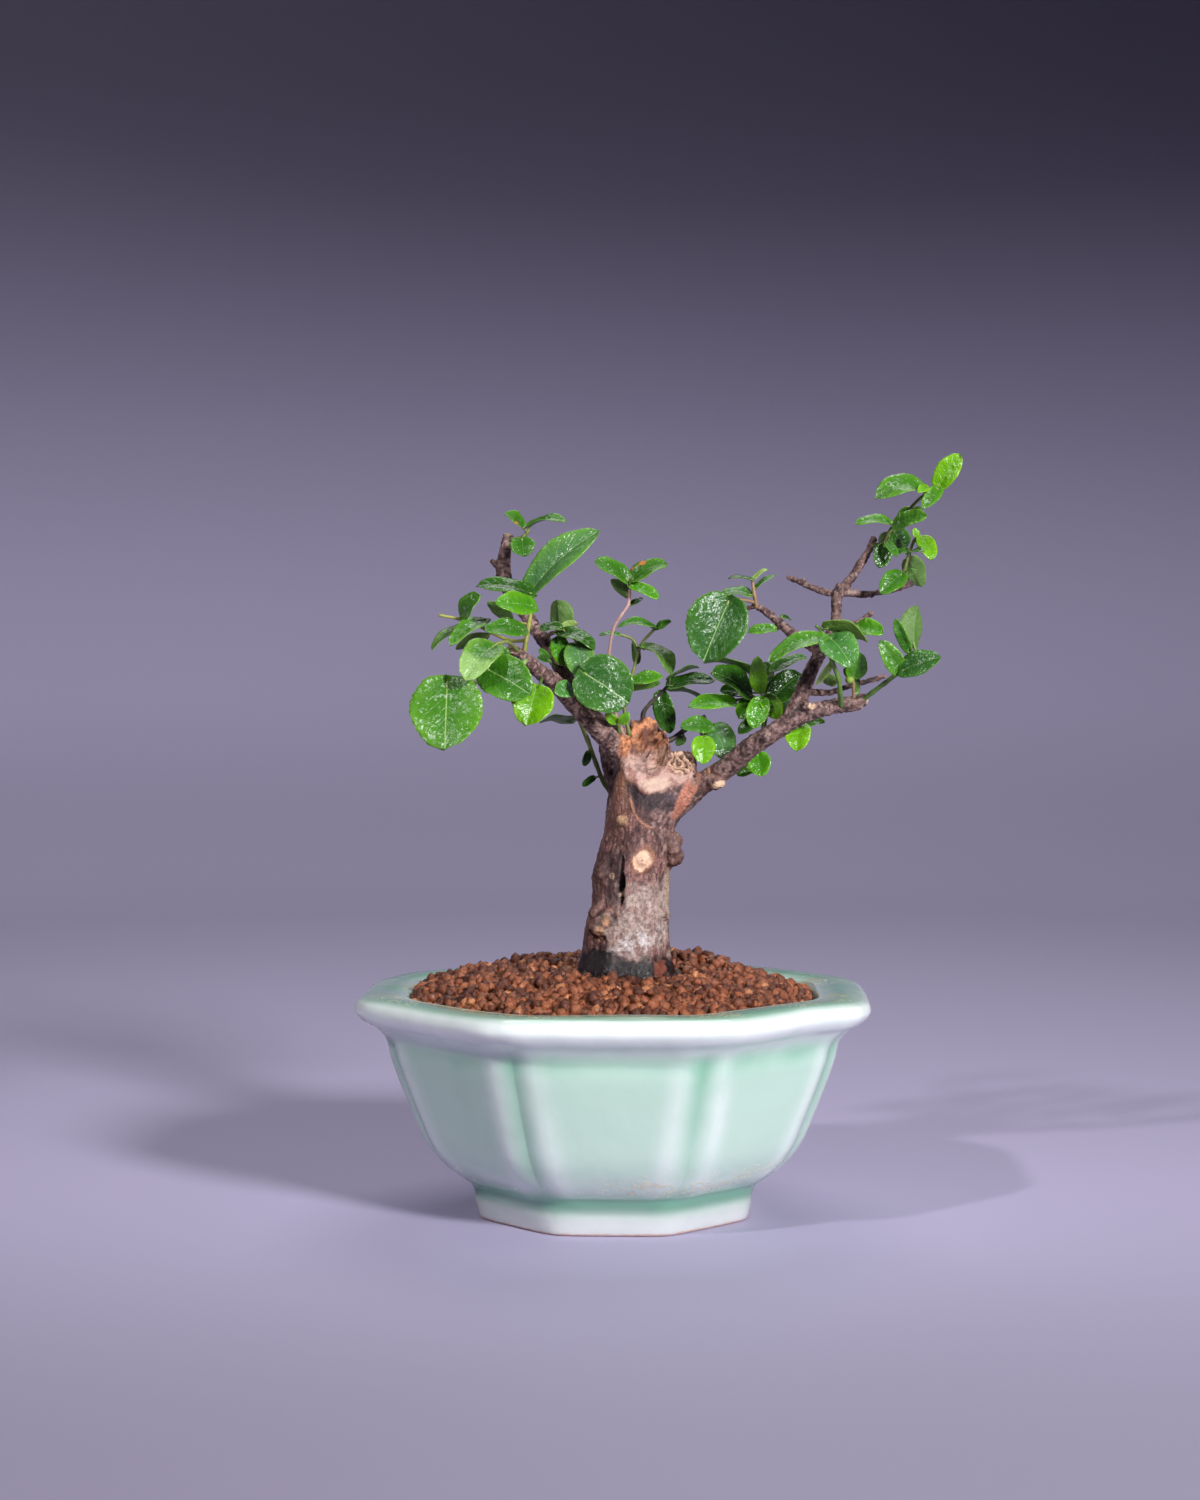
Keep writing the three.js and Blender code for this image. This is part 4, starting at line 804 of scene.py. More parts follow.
# The two sawn faces: a point on the face and the way it looks
STUMP_CUT = ((9, -8.4, 130), (-0.08, -0.74, 0.68))
CROTCH_CUT = ((14, -11, 125.8), (0.08, -0.74, 0.68))


def section_ring(height, left, right, front, back, sides):
    angle = np.arange(sides) / sides * 2 * math.pi
    furrow = 0.05 * np.sin(3 * angle + height * 0.06) + 0.035 * np.sin(7 * angle - height * 0.045)
    furrow = furrow + 0.012 * np.sin(12 * angle + height * 0.09)
    swell = 1 + furrow * np.abs(np.sin(angle))
    x = (left + right) / 2 + (right - left) / 2 * np.cos(angle) * swell
    y = (front + back) / 2 + (back - front) / 2 * np.sin(angle) * swell
    return np.column_stack([x, y, np.full(sides, height)])


# A closed body over its sections, cut off flat by the sawn face
def trunk_body(sections, sides, cut):
    rings = [section_ring(*row, sides) for row in eased(sections, 4)]
    bm = bmesh.new()
    points = [bm.verts.new(p) for p in np.vstack(rings)]
    for face in capped_faces(len(rings), sides):
        bm.faces.new([points[i] for i in face])
    everything = bm.verts[:] + bm.edges[:] + bm.faces[:]
    on, looks = in_depth(cut[0]), unit(cut[1])
    bmesh.ops.bisect_plane(bm, geom=everything, plane_co=on, plane_no=looks, clear_outer=True)
    rim = [edge for edge in bm.edges if edge.is_boundary]
    bmesh.ops.holes_fill(bm, edges=rim, sides=0)
    bm.verts.index_update()
    return points_and_faces(bm)


# The middle line of all the wood: places, their radius and the way the grain runs there
def middle_lines(rows_by_limb):
    places = []
    sections = [eased(rows, BRANCH_STEPS) for rows in (TRUNK_SECTIONS, STUMP_SECTIONS)]
    for height, left, right, front, back in np.vstack(sections):
        half = (right - left + back - front) / 4
        places.append([(left + right) / 2, (front + back) / 2, height, half, 0, 0, 1])
    for rows in rows_by_limb.values():
        for i, row in enumerate(rows):
            run = unit(rows[min(i + 1, len(rows) - 1)][:3] - rows[max(i - 1, 0)][:3])
            places.append([*row, *run])
    return np.array(places)


# All the solids of a skin made into one, and smoothed a little
def fused(skin, voxel):
    rough = in_scene("rough_wood", skin.mesh("rough_wood", []))
    rough.modifiers.new("fuse", "REMESH").mode = "VOXEL"
    rough.modifiers["fuse"].voxel_size = voxel * MM
    graph = bpy.context.evaluated_depsgraph_get()
    made = bpy.data.meshes.new_from_object(rough.evaluated_get(graph))
    bpy.data.objects.remove(rough)
    bm = bmesh.new()
    bm.from_mesh(made)
    for _ in range(WOOD_SMOOTHINGS):
        bmesh.ops.smooth_vert(bm, verts=bm.verts, factor=0.5, use_axis_x=True, use_axis_y=True,
                              use_axis_z=True)
    bm.to_mesh(made)
    bm.free()
    return made


def mesh_values(mesh, name):
    values = np.empty(len(mesh.vertices) * 3)
    mesh.vertices.foreach_get(name, values)
    return values.reshape(-1, 3)


# The skin of the wood before its relief: its points and normals, the points drawn together along the grain,
# and where it is thick enough to be trunk
class Wood:
    def __init__(self, mesh, rows_by_limb):
        self.points = mesh_values(mesh, "co") / MM - AXIS
        self.normals = mesh_values(mesh, "normal")
        self.x, _, self.z = self.points.T
        self.forward = -self.normals[:, 1]
        lines = middle_lines(rows_by_limb)
        tree = kdtree.KDTree(len(lines))
        for i, line in enumerate(lines):
            tree.insert(line[:3], i)
        tree.balance()
        nearest = np.array([tree.find(p)[1] for p in self.points])
        grain = lines[nearest, 4:]
        along = (self.points * grain).sum(axis=1)
        self.drawn = self.points - grain * (along * GRAIN_DRAW)[:, None]
        self.trunk = ramp(4, 8, lines[nearest, 3])


# How much a point belongs to a sawn face: near it, and looking the way it looks
def on_cut(wood, cut):
    on, looks = in_depth(cut[0]), unit(cut[1])
    over = (wood.points - on) @ looks
    return (1 - ramp(0.5, 1.3, np.abs(over))) * ramp(0.55, 0.85, wood.normals @ looks)


# The sawn end of a limb, with the rows of its middle line
def on_end(wood, rows):
    tip = rows[-1]
    run = unit(tip[:3] - rows[-3][:3])
    near = np.linalg.norm(wood.points - tip[:3], axis=1) < tip[3] * 1.25
    return near * ramp(0.45, 0.8, wood.normals @ run)


# A soft patch on the front of the wood, in the picture plane: middle x and z, half width and height,
# how ragged its edge is, the seed of that, how far it leans in x as it rises, and how soft its edge is
def patch(wood, x, z, half_x, half_z, ragged=0.25, seed=0, lean=0.0, soft=0.2):
    up = wood.z - z
    away = np.hypot((wood.x - x - lean * up) / half_x, up / half_z)
    away = away + (cloud(wood.points, 2.4, seed, 3) - 0.5) * 2 * ragged
    return (1 - ramp(0.95 - soft, 0.95 + soft, away)) * ramp(0.05, 0.35, wood.forward)


def patches(wood, places):
    return np.maximum.reduce([patch(wood, *place) for place in places])


# Marks on the front of the wood, as patches
END_PATCHES = [
    (31, 127.8, 2.1, 1.2, 0.25, 8, 0.9),
    (57.6, 151, 1.2, 1.1, 0.3, 9),
    (-30.4, 167.8, 1.5, 1.5, 0.15, 10),
]
SCAR_PATCH = (8.2, 105.1, 2.8, 3.1, 0.3, 4, 0.15, 0.07)
ROLL_PATCH = (8.2, 105.1, 3.7, 4.1, 0.3, 4, 0.15, 0.12)
HOLLOW_PATCHES = [
    (1.5, 98.6, 1.35, 3.0, 0.5, 11, 0.1, 0.1),
    (2.0, 94.4, 0.8, 2.6, 0.5, 12, 0.1, 0.1),
    (2.0, 103.6, 0.6, 3.0, 0.5, 13, 0.16, 0.1),
]
TAN_PATCHES = [(-4.6, 83.8, 1.7, 2.6, 0.4, 52), (-2.4, 87.8, 1.3, 1.7, 0.4, 53)]
DARK_PATCHES = [(7.6, 125.4, 4.4, 4.6, 0.3, 57, -0.5), (13.6, 122.6, 6.4, 3.0, 0.35, 60, 0.2)]
CHIP_PATCHES = [(-0.7, 100.6, 0.9, 1.0, 0.3, 65), (1.5, 95.6, 0.5, 1.3, 0.3, 66)]


# Where the sawn, healed and hollow places of the wood are
def mark_wood(wood, rows_by_limb):
    x, z, points = wood.x, wood.z, wood.points
    wood.stump_face = on_cut(wood, STUMP_CUT) * ramp(129, 131.5, z)
    wood.plate = on_cut(wood, CROTCH_CUT)
    wood.cut = np.maximum(wood.stump_face, wood.plate)
    sawn = [on_end(wood, rows_by_limb[name]) for name in SAWN_ENDS]
    wood.ends = np.maximum.reduce(sawn + [patches(wood, END_PATCHES)])
    wood.scar = patch(wood, *SCAR_PATCH)
    wood.roll = patch(wood, *ROLL_PATCH) - wood.scar
    wood.hollow = patches(wood, HOLLOW_PATCHES)
    wood.knot = patch(wood, 19.5, 134.4, 3.0, 2.7, 0.3, 15)
    wood.bowl = wood.stump_face * (1 - ramp(2.0, 6.6, np.hypot(x - 10.6, (z - 138.4) * 0.9)))
    wood.bark = (1 - wood.cut) * (1 - wood.ends) * (1 - wood.scar)
    wood.burl = np.zeros(len(points))
    for place in KNOBS:
        apart = np.linalg.norm(points - in_depth(place), axis=1)
        swell = (1 - ramp(place[3], place[3] + 2.5, apart)) * (place[3] > 2)
        wood.burl = np.maximum(wood.burl, swell)
    # the knot's folds, and the broken top of the tall stump without the limb behind it
    folds = np.hypot(x - 19.6, z - 134.4) + (cloud(points, 3.2, 34, 3) - 0.5) * 8
    wood.folds = np.sin(folds * RIPPLES)
    area = 1 - ramp(3.2, 4.8, np.hypot(x - 19.8, (z - 134.2) * 1.05))
    wood.folded = area * ramp(-0.3, 0.2, wood.forward)
    wood.stump_side = ramp(0.5, 2.5, x)
    wood.torn = ramp(139, 144, z) * (1 - ramp(16.5, 18, x)) * wood.stump_side
    # the curled grain of the stump's bowl, and the pale ring round it
    swirl = np.hypot((x - 10.4) / 0.8, z - 137.6) + (cloud(points, 4.2, 35, 3) - 0.5) * 6
    wood.swirl = np.sin(swirl * RIPPLES)
    ring_off = np.hypot((x - 10.2) / 6.4, (z - 137.4) / 8.2) - 1
    wood.ring = wood.stump_face * np.exp(-(ring_off / 0.12) ** 2) * (x < 13)
    # the raised line that hangs below the crotch in an arc, with a shadow inside it
    arc = np.hypot((x - 14.2) / 9.8, (z - 124.5) / 10.1) - 1
    front = ramp(0.1, 0.4, wood.forward) * wood.trunk * wood.bark
    wood.line = np.exp(-(arc / 0.03) ** 2) * (1 - ramp(122.5, 125, z)) * (1 - ramp(18, 19.5, x)) * front
    # a painted shadow: a thin dark line just inside the raised arc
    wood.gap = np.exp(-((arc + 0.045) / 0.018) ** 2) * (1 - ramp(120, 123, z)) * (1 - ramp(17, 19, x)) * front
    wood.inside_arc = (1 - ramp(-0.06, 0.0, arc)) * front * (1 - ramp(128, 131, z))


# How far each point of the wood stands out, in millimetres
def wood_relief(wood):
    points, drawn, bark = wood.points, wood.drawn, wood.bark
    wood.furrows = 1 - np.abs(2 * cloud(drawn, 1.15, 21, 4) - 1)
    wood.ragged = cloud(drawn, 1.2, 31, 4) - 0.5
    lumps = (cloud(points, 6.5, 22, 3) - 0.5) * LUMPS
    knurls = cloud(points, 2.1, 24, 3) - 0.5
    flakes = cloud(points, 0.8, 23, 3) - 0.5
    twists = cloud(drawn, 0.95, 46, 3) - 0.5
    curls = np.abs(2 * cloud(points, 3.6, 32, 3) - 1)
    thick = 0.3 + 0.7 * wood.trunk
    shift = bark * (lumps * thick - wood.furrows * FURROWS * thick + flakes * FLAKES + 0.1)
    shift += bark * wood.burl * knurls * KNURLS
    shift += bark * (1 - wood.trunk) * twists * TWISTS
    shift += wood.stump_face * (wood.ragged * 1.9 + curls * 1.4 - 0.6)
    shift += wood.plate * (wood.ragged * 0.4 + curls * 0.3)
    shift += wood.stump_face * wood.swirl * 0.16
    shift += wood.torn * (cloud(points, 1.9, 36, 3) - 0.5) * TORN
    shift += wood.ring * 0.8
    shift += wood.roll * 0.35
    shift += wood.folded * wood.folds * 0.6
    shift += wood.line * 0.3 - wood.inside_arc * 0.25
    # painted shade: the low places of the relief are darkened, but not the broad hollows
    wood.low = ramp(0.15, -0.65, shift - lumps * thick * bark)
    deep = wood.hollow * HOLLOW_DEPTH + wood.knot * KNOT_DEPTH
    return shift - deep - wood.scar * SCAR_DEPTH - wood.bowl * BOWL_DEPTH


# The sawn faces, paler and cleaner than the bark
def sawn_tint(wood, grain_tone, speck):
    plain = np.zeros((len(wood.points), 3))
    bowl_wood = painted(
        plain,
        ((206, 136, 100), (146, 84, 58), grain_tone, 1.0),
        ((212, 134, 86), (142, 82, 52), grain_tone, ramp(136, 141, wood.z) * 0.7),
        ((88, 50, 40), ramp(0.03, 0.13, wood.ragged) * 0.8),
        ((240, 200, 174), ramp(-0.04, -0.14, wood.ragged) * 0.6),
        ((230, 174, 142), ramp(0.2, 0.9, wood.swirl) * 0.4),
        ((240, 220, 206), np.clip(wood.ring, 0, 1) * 0.85),
        ((84, 52, 44), ramp(0.66, 0.76, speck) * 0.7),
    )
    plate_wood = painted(
        plain,
        ((214, 174, 162), (178, 128, 116), ramp(0.4, 0.66, cloud(wood.points, 2.6, 62, 4)), 1.0),
        ((142, 92, 80), ramp(0.05, 0.16, wood.ragged) * 0.7),
        ((240, 208, 188), patch(wood, 12.2, 127.4, 5, 2.2, 0.4, 63) * 0.7),
    )
    return blend(bowl_wood, plate_wood, wood.plate) * 0.88


def wood_tint(wood):
    x, z, points, drawn, bark, trunk = wood.x, wood.z, wood.points, wood.drawn, wood.bark, wood.trunk
    mottled = cloud(points, 4.5, 41, 4)
    fine = cloud(drawn, 0.75, 42, 3)
    speck = cloud(points, 0.9, 45, 3)
    streak = cloud(drawn, 0.9, 44, 3)
    grain_tone = ramp(0.35, 0.68, cloud(drawn, 2.0, 61, 4))
    plain = np.zeros((len(points), 3))
    limb = painted(
        plain,
        ((178, 136, 130), (124, 86, 82), ramp(0.35, 0.62, cloud(drawn, 1.3, 43, 3)), 1.0),
        ((214, 184, 176), ramp(0.56, 0.7, streak) * 0.6),
        ((54, 36, 36), ramp(0.48, 0.34, streak) * 0.85),
        ((60, 42, 40), ramp(0.6, 0.8, speck) * 0.5),
    )
    # painted shade: the limbs are darker towards the right
    limb = limb * (0.74 - 0.16 * ramp(18, 32, x))[:, None]
    tint = painted(
        plain,
        ((160, 108, 102), (110, 68, 66), ramp(0.35, 0.65, mottled), 1.0),
        ((196, 160, 148), ramp(0.54, 0.76, fine) * 0.75),
        ((48, 32, 36), ramp(0.74, 0.97, wood.furrows) * 0.7),
        ((56, 36, 38), ramp(0.58, 0.74, speck) * 0.65),
    )
    tint = blend(limb, tint, trunk)
    warm = ramp(104, 124, z) * (1 - ramp(1, 7, x)) * trunk
    flank = ramp(122, 130, z) * (1 - ramp(4.4, 6.4, x)) * trunk
    dusty = patch(wood, 8.6, 86.5, 11, 12.5, 0.8, 51)
    dusty *= 0.25 + 0.75 * ramp(0.4, 0.62, speck * 0.5 + mottled * 0.5)
    bloom = patch(wood, 6.5, 81.5, 5.4, 4.4, 0.9, 59, 0.8, 0.5) * ramp(0.4, 0.62, speck)
    edge = ramp(14.4, 15.6, x + (cloud(points, 4, 69, 2) - 0.5) * 2) * ramp(86, 93, z)
    edge *= (1 - ramp(111, 115, z)) * ramp(-0.3, 0.3, wood.forward) * (1 - wood.burl)
    strip = patch(wood, 21.4, 124.6, 2.3, 7.0, 0.3, 58, 0.5)
    tint = painted(
        tint,
        ((170, 116, 92), (122, 80, 66), fine, warm * 0.7),
        ((214, 150, 112), (160, 104, 76), fine, flank * 0.75),
        ((88, 58, 54), (132, 96, 84), fine, wood.burl * bark * 0.55),
        ((226, 206, 196), (176, 148, 138), fine, dusty * 0.9),
        ((232, 224, 226), bloom * 0.8),
        ((216, 192, 164), (150, 122, 104), fine, edge * 0.85 * trunk),
        ((222, 172, 132), (160, 110, 84), fine, patches(wood, TAN_PATCHES) * 0.9),
        ((12, 9, 11), (46, 38, 44), ramp(0.5, 0.75, speck), wood.wet * 0.97),
        # a rusty flake at the soil, and the little knob below the crotch
        ((168, 88, 64), (112, 56, 42), fine, patch(wood, 13.8, 72.4, 1.9, 3.4, 0.35, 55) * 0.9),
        ((222, 178, 136), (150, 112, 80), speck, patch(wood, 2, 117, 1.9, 1.9, 0.3, 56) * 0.9),
        # the arc with the painted shadow inside it, the blackened bark over it, and the bare strip on its
        # right
        ((132, 92, 90), (92, 62, 62), fine, wood.inside_arc * 0.8),
        ((44, 32, 38), (98, 78, 86), ramp(0.4, 0.7, fine), patches(wood, DARK_PATCHES) * 0.85 * bark),
        ((206, 142, 108), wood.line * 0.85),
        ((34, 24, 26), wood.gap * 0.7),
        ((212, 142, 116), (178, 106, 84), fine, strip * bark * 0.92),
        ((196, 130, 98), (126, 74, 56), grain_tone, patch(wood, 4.2, 143.4, 3.0, 3.4, 0.3, 16) * 0.9),
    )
    tint = blend(tint, sawn_tint(wood, grain_tone, speck), wood.cut)
    broken = ramp(136.5, 141, z + 0.4 * (10 - x)) * wood.stump_side * ramp(0.0, 0.3, 18.5 - x)
    broken *= ramp(-0.1, 0.3, wood.forward)
    around = patch(wood, 0.4, 99.6, 3.4, 8.2, 0.5, 14)
    tint = painted(
        tint,
        ((230, 150, 98), (112, 60, 38), ramp(-0.06, 0.12, wood.ragged), broken * 0.85),
        # painted light and shade on the knot's folds: pale on their crests, dark in their troughs
        ((122, 76, 52), (226, 186, 158), ramp(-0.5, 0.7, wood.folds), wood.folded * 0.85),
        # two holes painted dark as shade, on the stump's shoulder and right of the knot
        ((40, 26, 26), patch(wood, 3.4, 143.4, 1.0, 0.9, 0.4, 67) * 0.85),
        ((24, 16, 18), patch(wood, 23.8, 130, 0.6, 0.5, 0.2, 68) * 0.9),
        ((240, 202, 168), np.clip(wood.ends, 0, 1) * 0.9),
        # the healed cut: its rolled bark, its pale wood and its pith
        ((176, 116, 86), (120, 80, 66), fine, np.clip(wood.roll, 0, 1) * 0.75),
        ((250, 214, 186), (238, 186, 154), fine, wood.scar * 0.95),
        ((120, 76, 50), patch(wood, 8.1, 105.3, 0.35, 0.35, 0.1, 64) * 0.9),
        # the hollow, painted near black as the shade in it, the dark bark round it and the chips in it
        ((52, 36, 38), (104, 78, 78), fine, around * (1 - wood.scar) * 0.6),
        ((12, 8, 8), np.clip(wood.hollow * 1.2, 0, 1) * 0.97),
        ((206, 170, 146), patches(wood, CHIP_PATCHES) * 0.8),
        ((52, 32, 28), wood.knot * ramp(0.5, 0.7, fine) * 0.7),
    )
    # painted shade darkens the low places of the relief
    return np.clip(tint * (1 - 0.55 * wood.low)[:, None], 0, 1)


def make_wood(finish):
    skin = Skin()
    skin.add(*trunk_body(TRUNK_SECTIONS, TRUNK_SIDES, CROTCH_CUT))
    skin.add(*trunk_body(STUMP_SECTIONS, STUMP_SIDES, STUMP_CUT))
    rows_by_limb = {}
    for name, places in LIMBS.items():
        rows = rows_by_limb[name] = branch_rows(places)
        skin.add(*tube(rows[:, :3], rows[:, 3], LIMB_SIDES))
    for *place, radius in KNOBS:
        skin.add(*ball(place, radius))
    mesh = fused(skin, WOOD_VOXEL)
    wood = Wood(mesh, rows_by_limb)
    mark_wood(wood, rows_by_limb)
    damp = wood.z + (cloud(wood.points, 3, 54, 3) - 0.5) * 7 + 0.16 * wood.x
    wood.wet = (1 - ramp(76.4, 79.2, damp)) * wood.trunk
    moved = wood.points + wood.normals * wood_relief(wood)[:, None]
    mesh.vertices.foreach_set("co", ((moved + AXIS) * MM).ravel())
    sawn = np.clip(wood.cut + wood.ends + wood.scar, 0, 1)
    marks = {"tint": wood_tint(wood), "wet": wood.wet, "sawn": sawn}
    for name, values in marks.items():
        keep_mark(mesh, name, len(values), [(0, values)])
    mesh.materials.append(finish)
    mesh.polygons.foreach_set("use_smooth", [True] * len(mesh.polygons))
    mesh.update()
    return piece("tree_wood", mesh, "bark", "trunk")


def bark_finish():
    f = Finish("bark")
    body = f.tint("tint")
    clean = f.plus(1.0, f.times(f.mark("sawn"), -0.5))
    grime = f.times(f.spread(f.noise(0.7, 6, 0.8), 0.44, 0.68, 0.0, 0.9), clean)
    body = f.mix(grime, body, (0.38, 0.3, 0.3), "MULTIPLY")
    flecks = f.times(f.spread(f.noise(0.45, 4, 0.7), 0.56, 0.68), f.spread(body, 0.03, 0.14))
    body = f.mix(f.times(flecks, 0.45), body, colour(232, 206, 190))
    rough = f.plus(0.62, f.times(f.mark("wet"), -0.42))
    height = f.plus(f.times(f.noise(0.5, 5, 0.7), 1.0), f.times(f.cells(0.8), 0.5))
    return f.done(Base_Color=body, Roughness=rough, Normal=f.relief(height, 0.3), IOR=1.5)


# The green shoots: stems, stalks and leaves

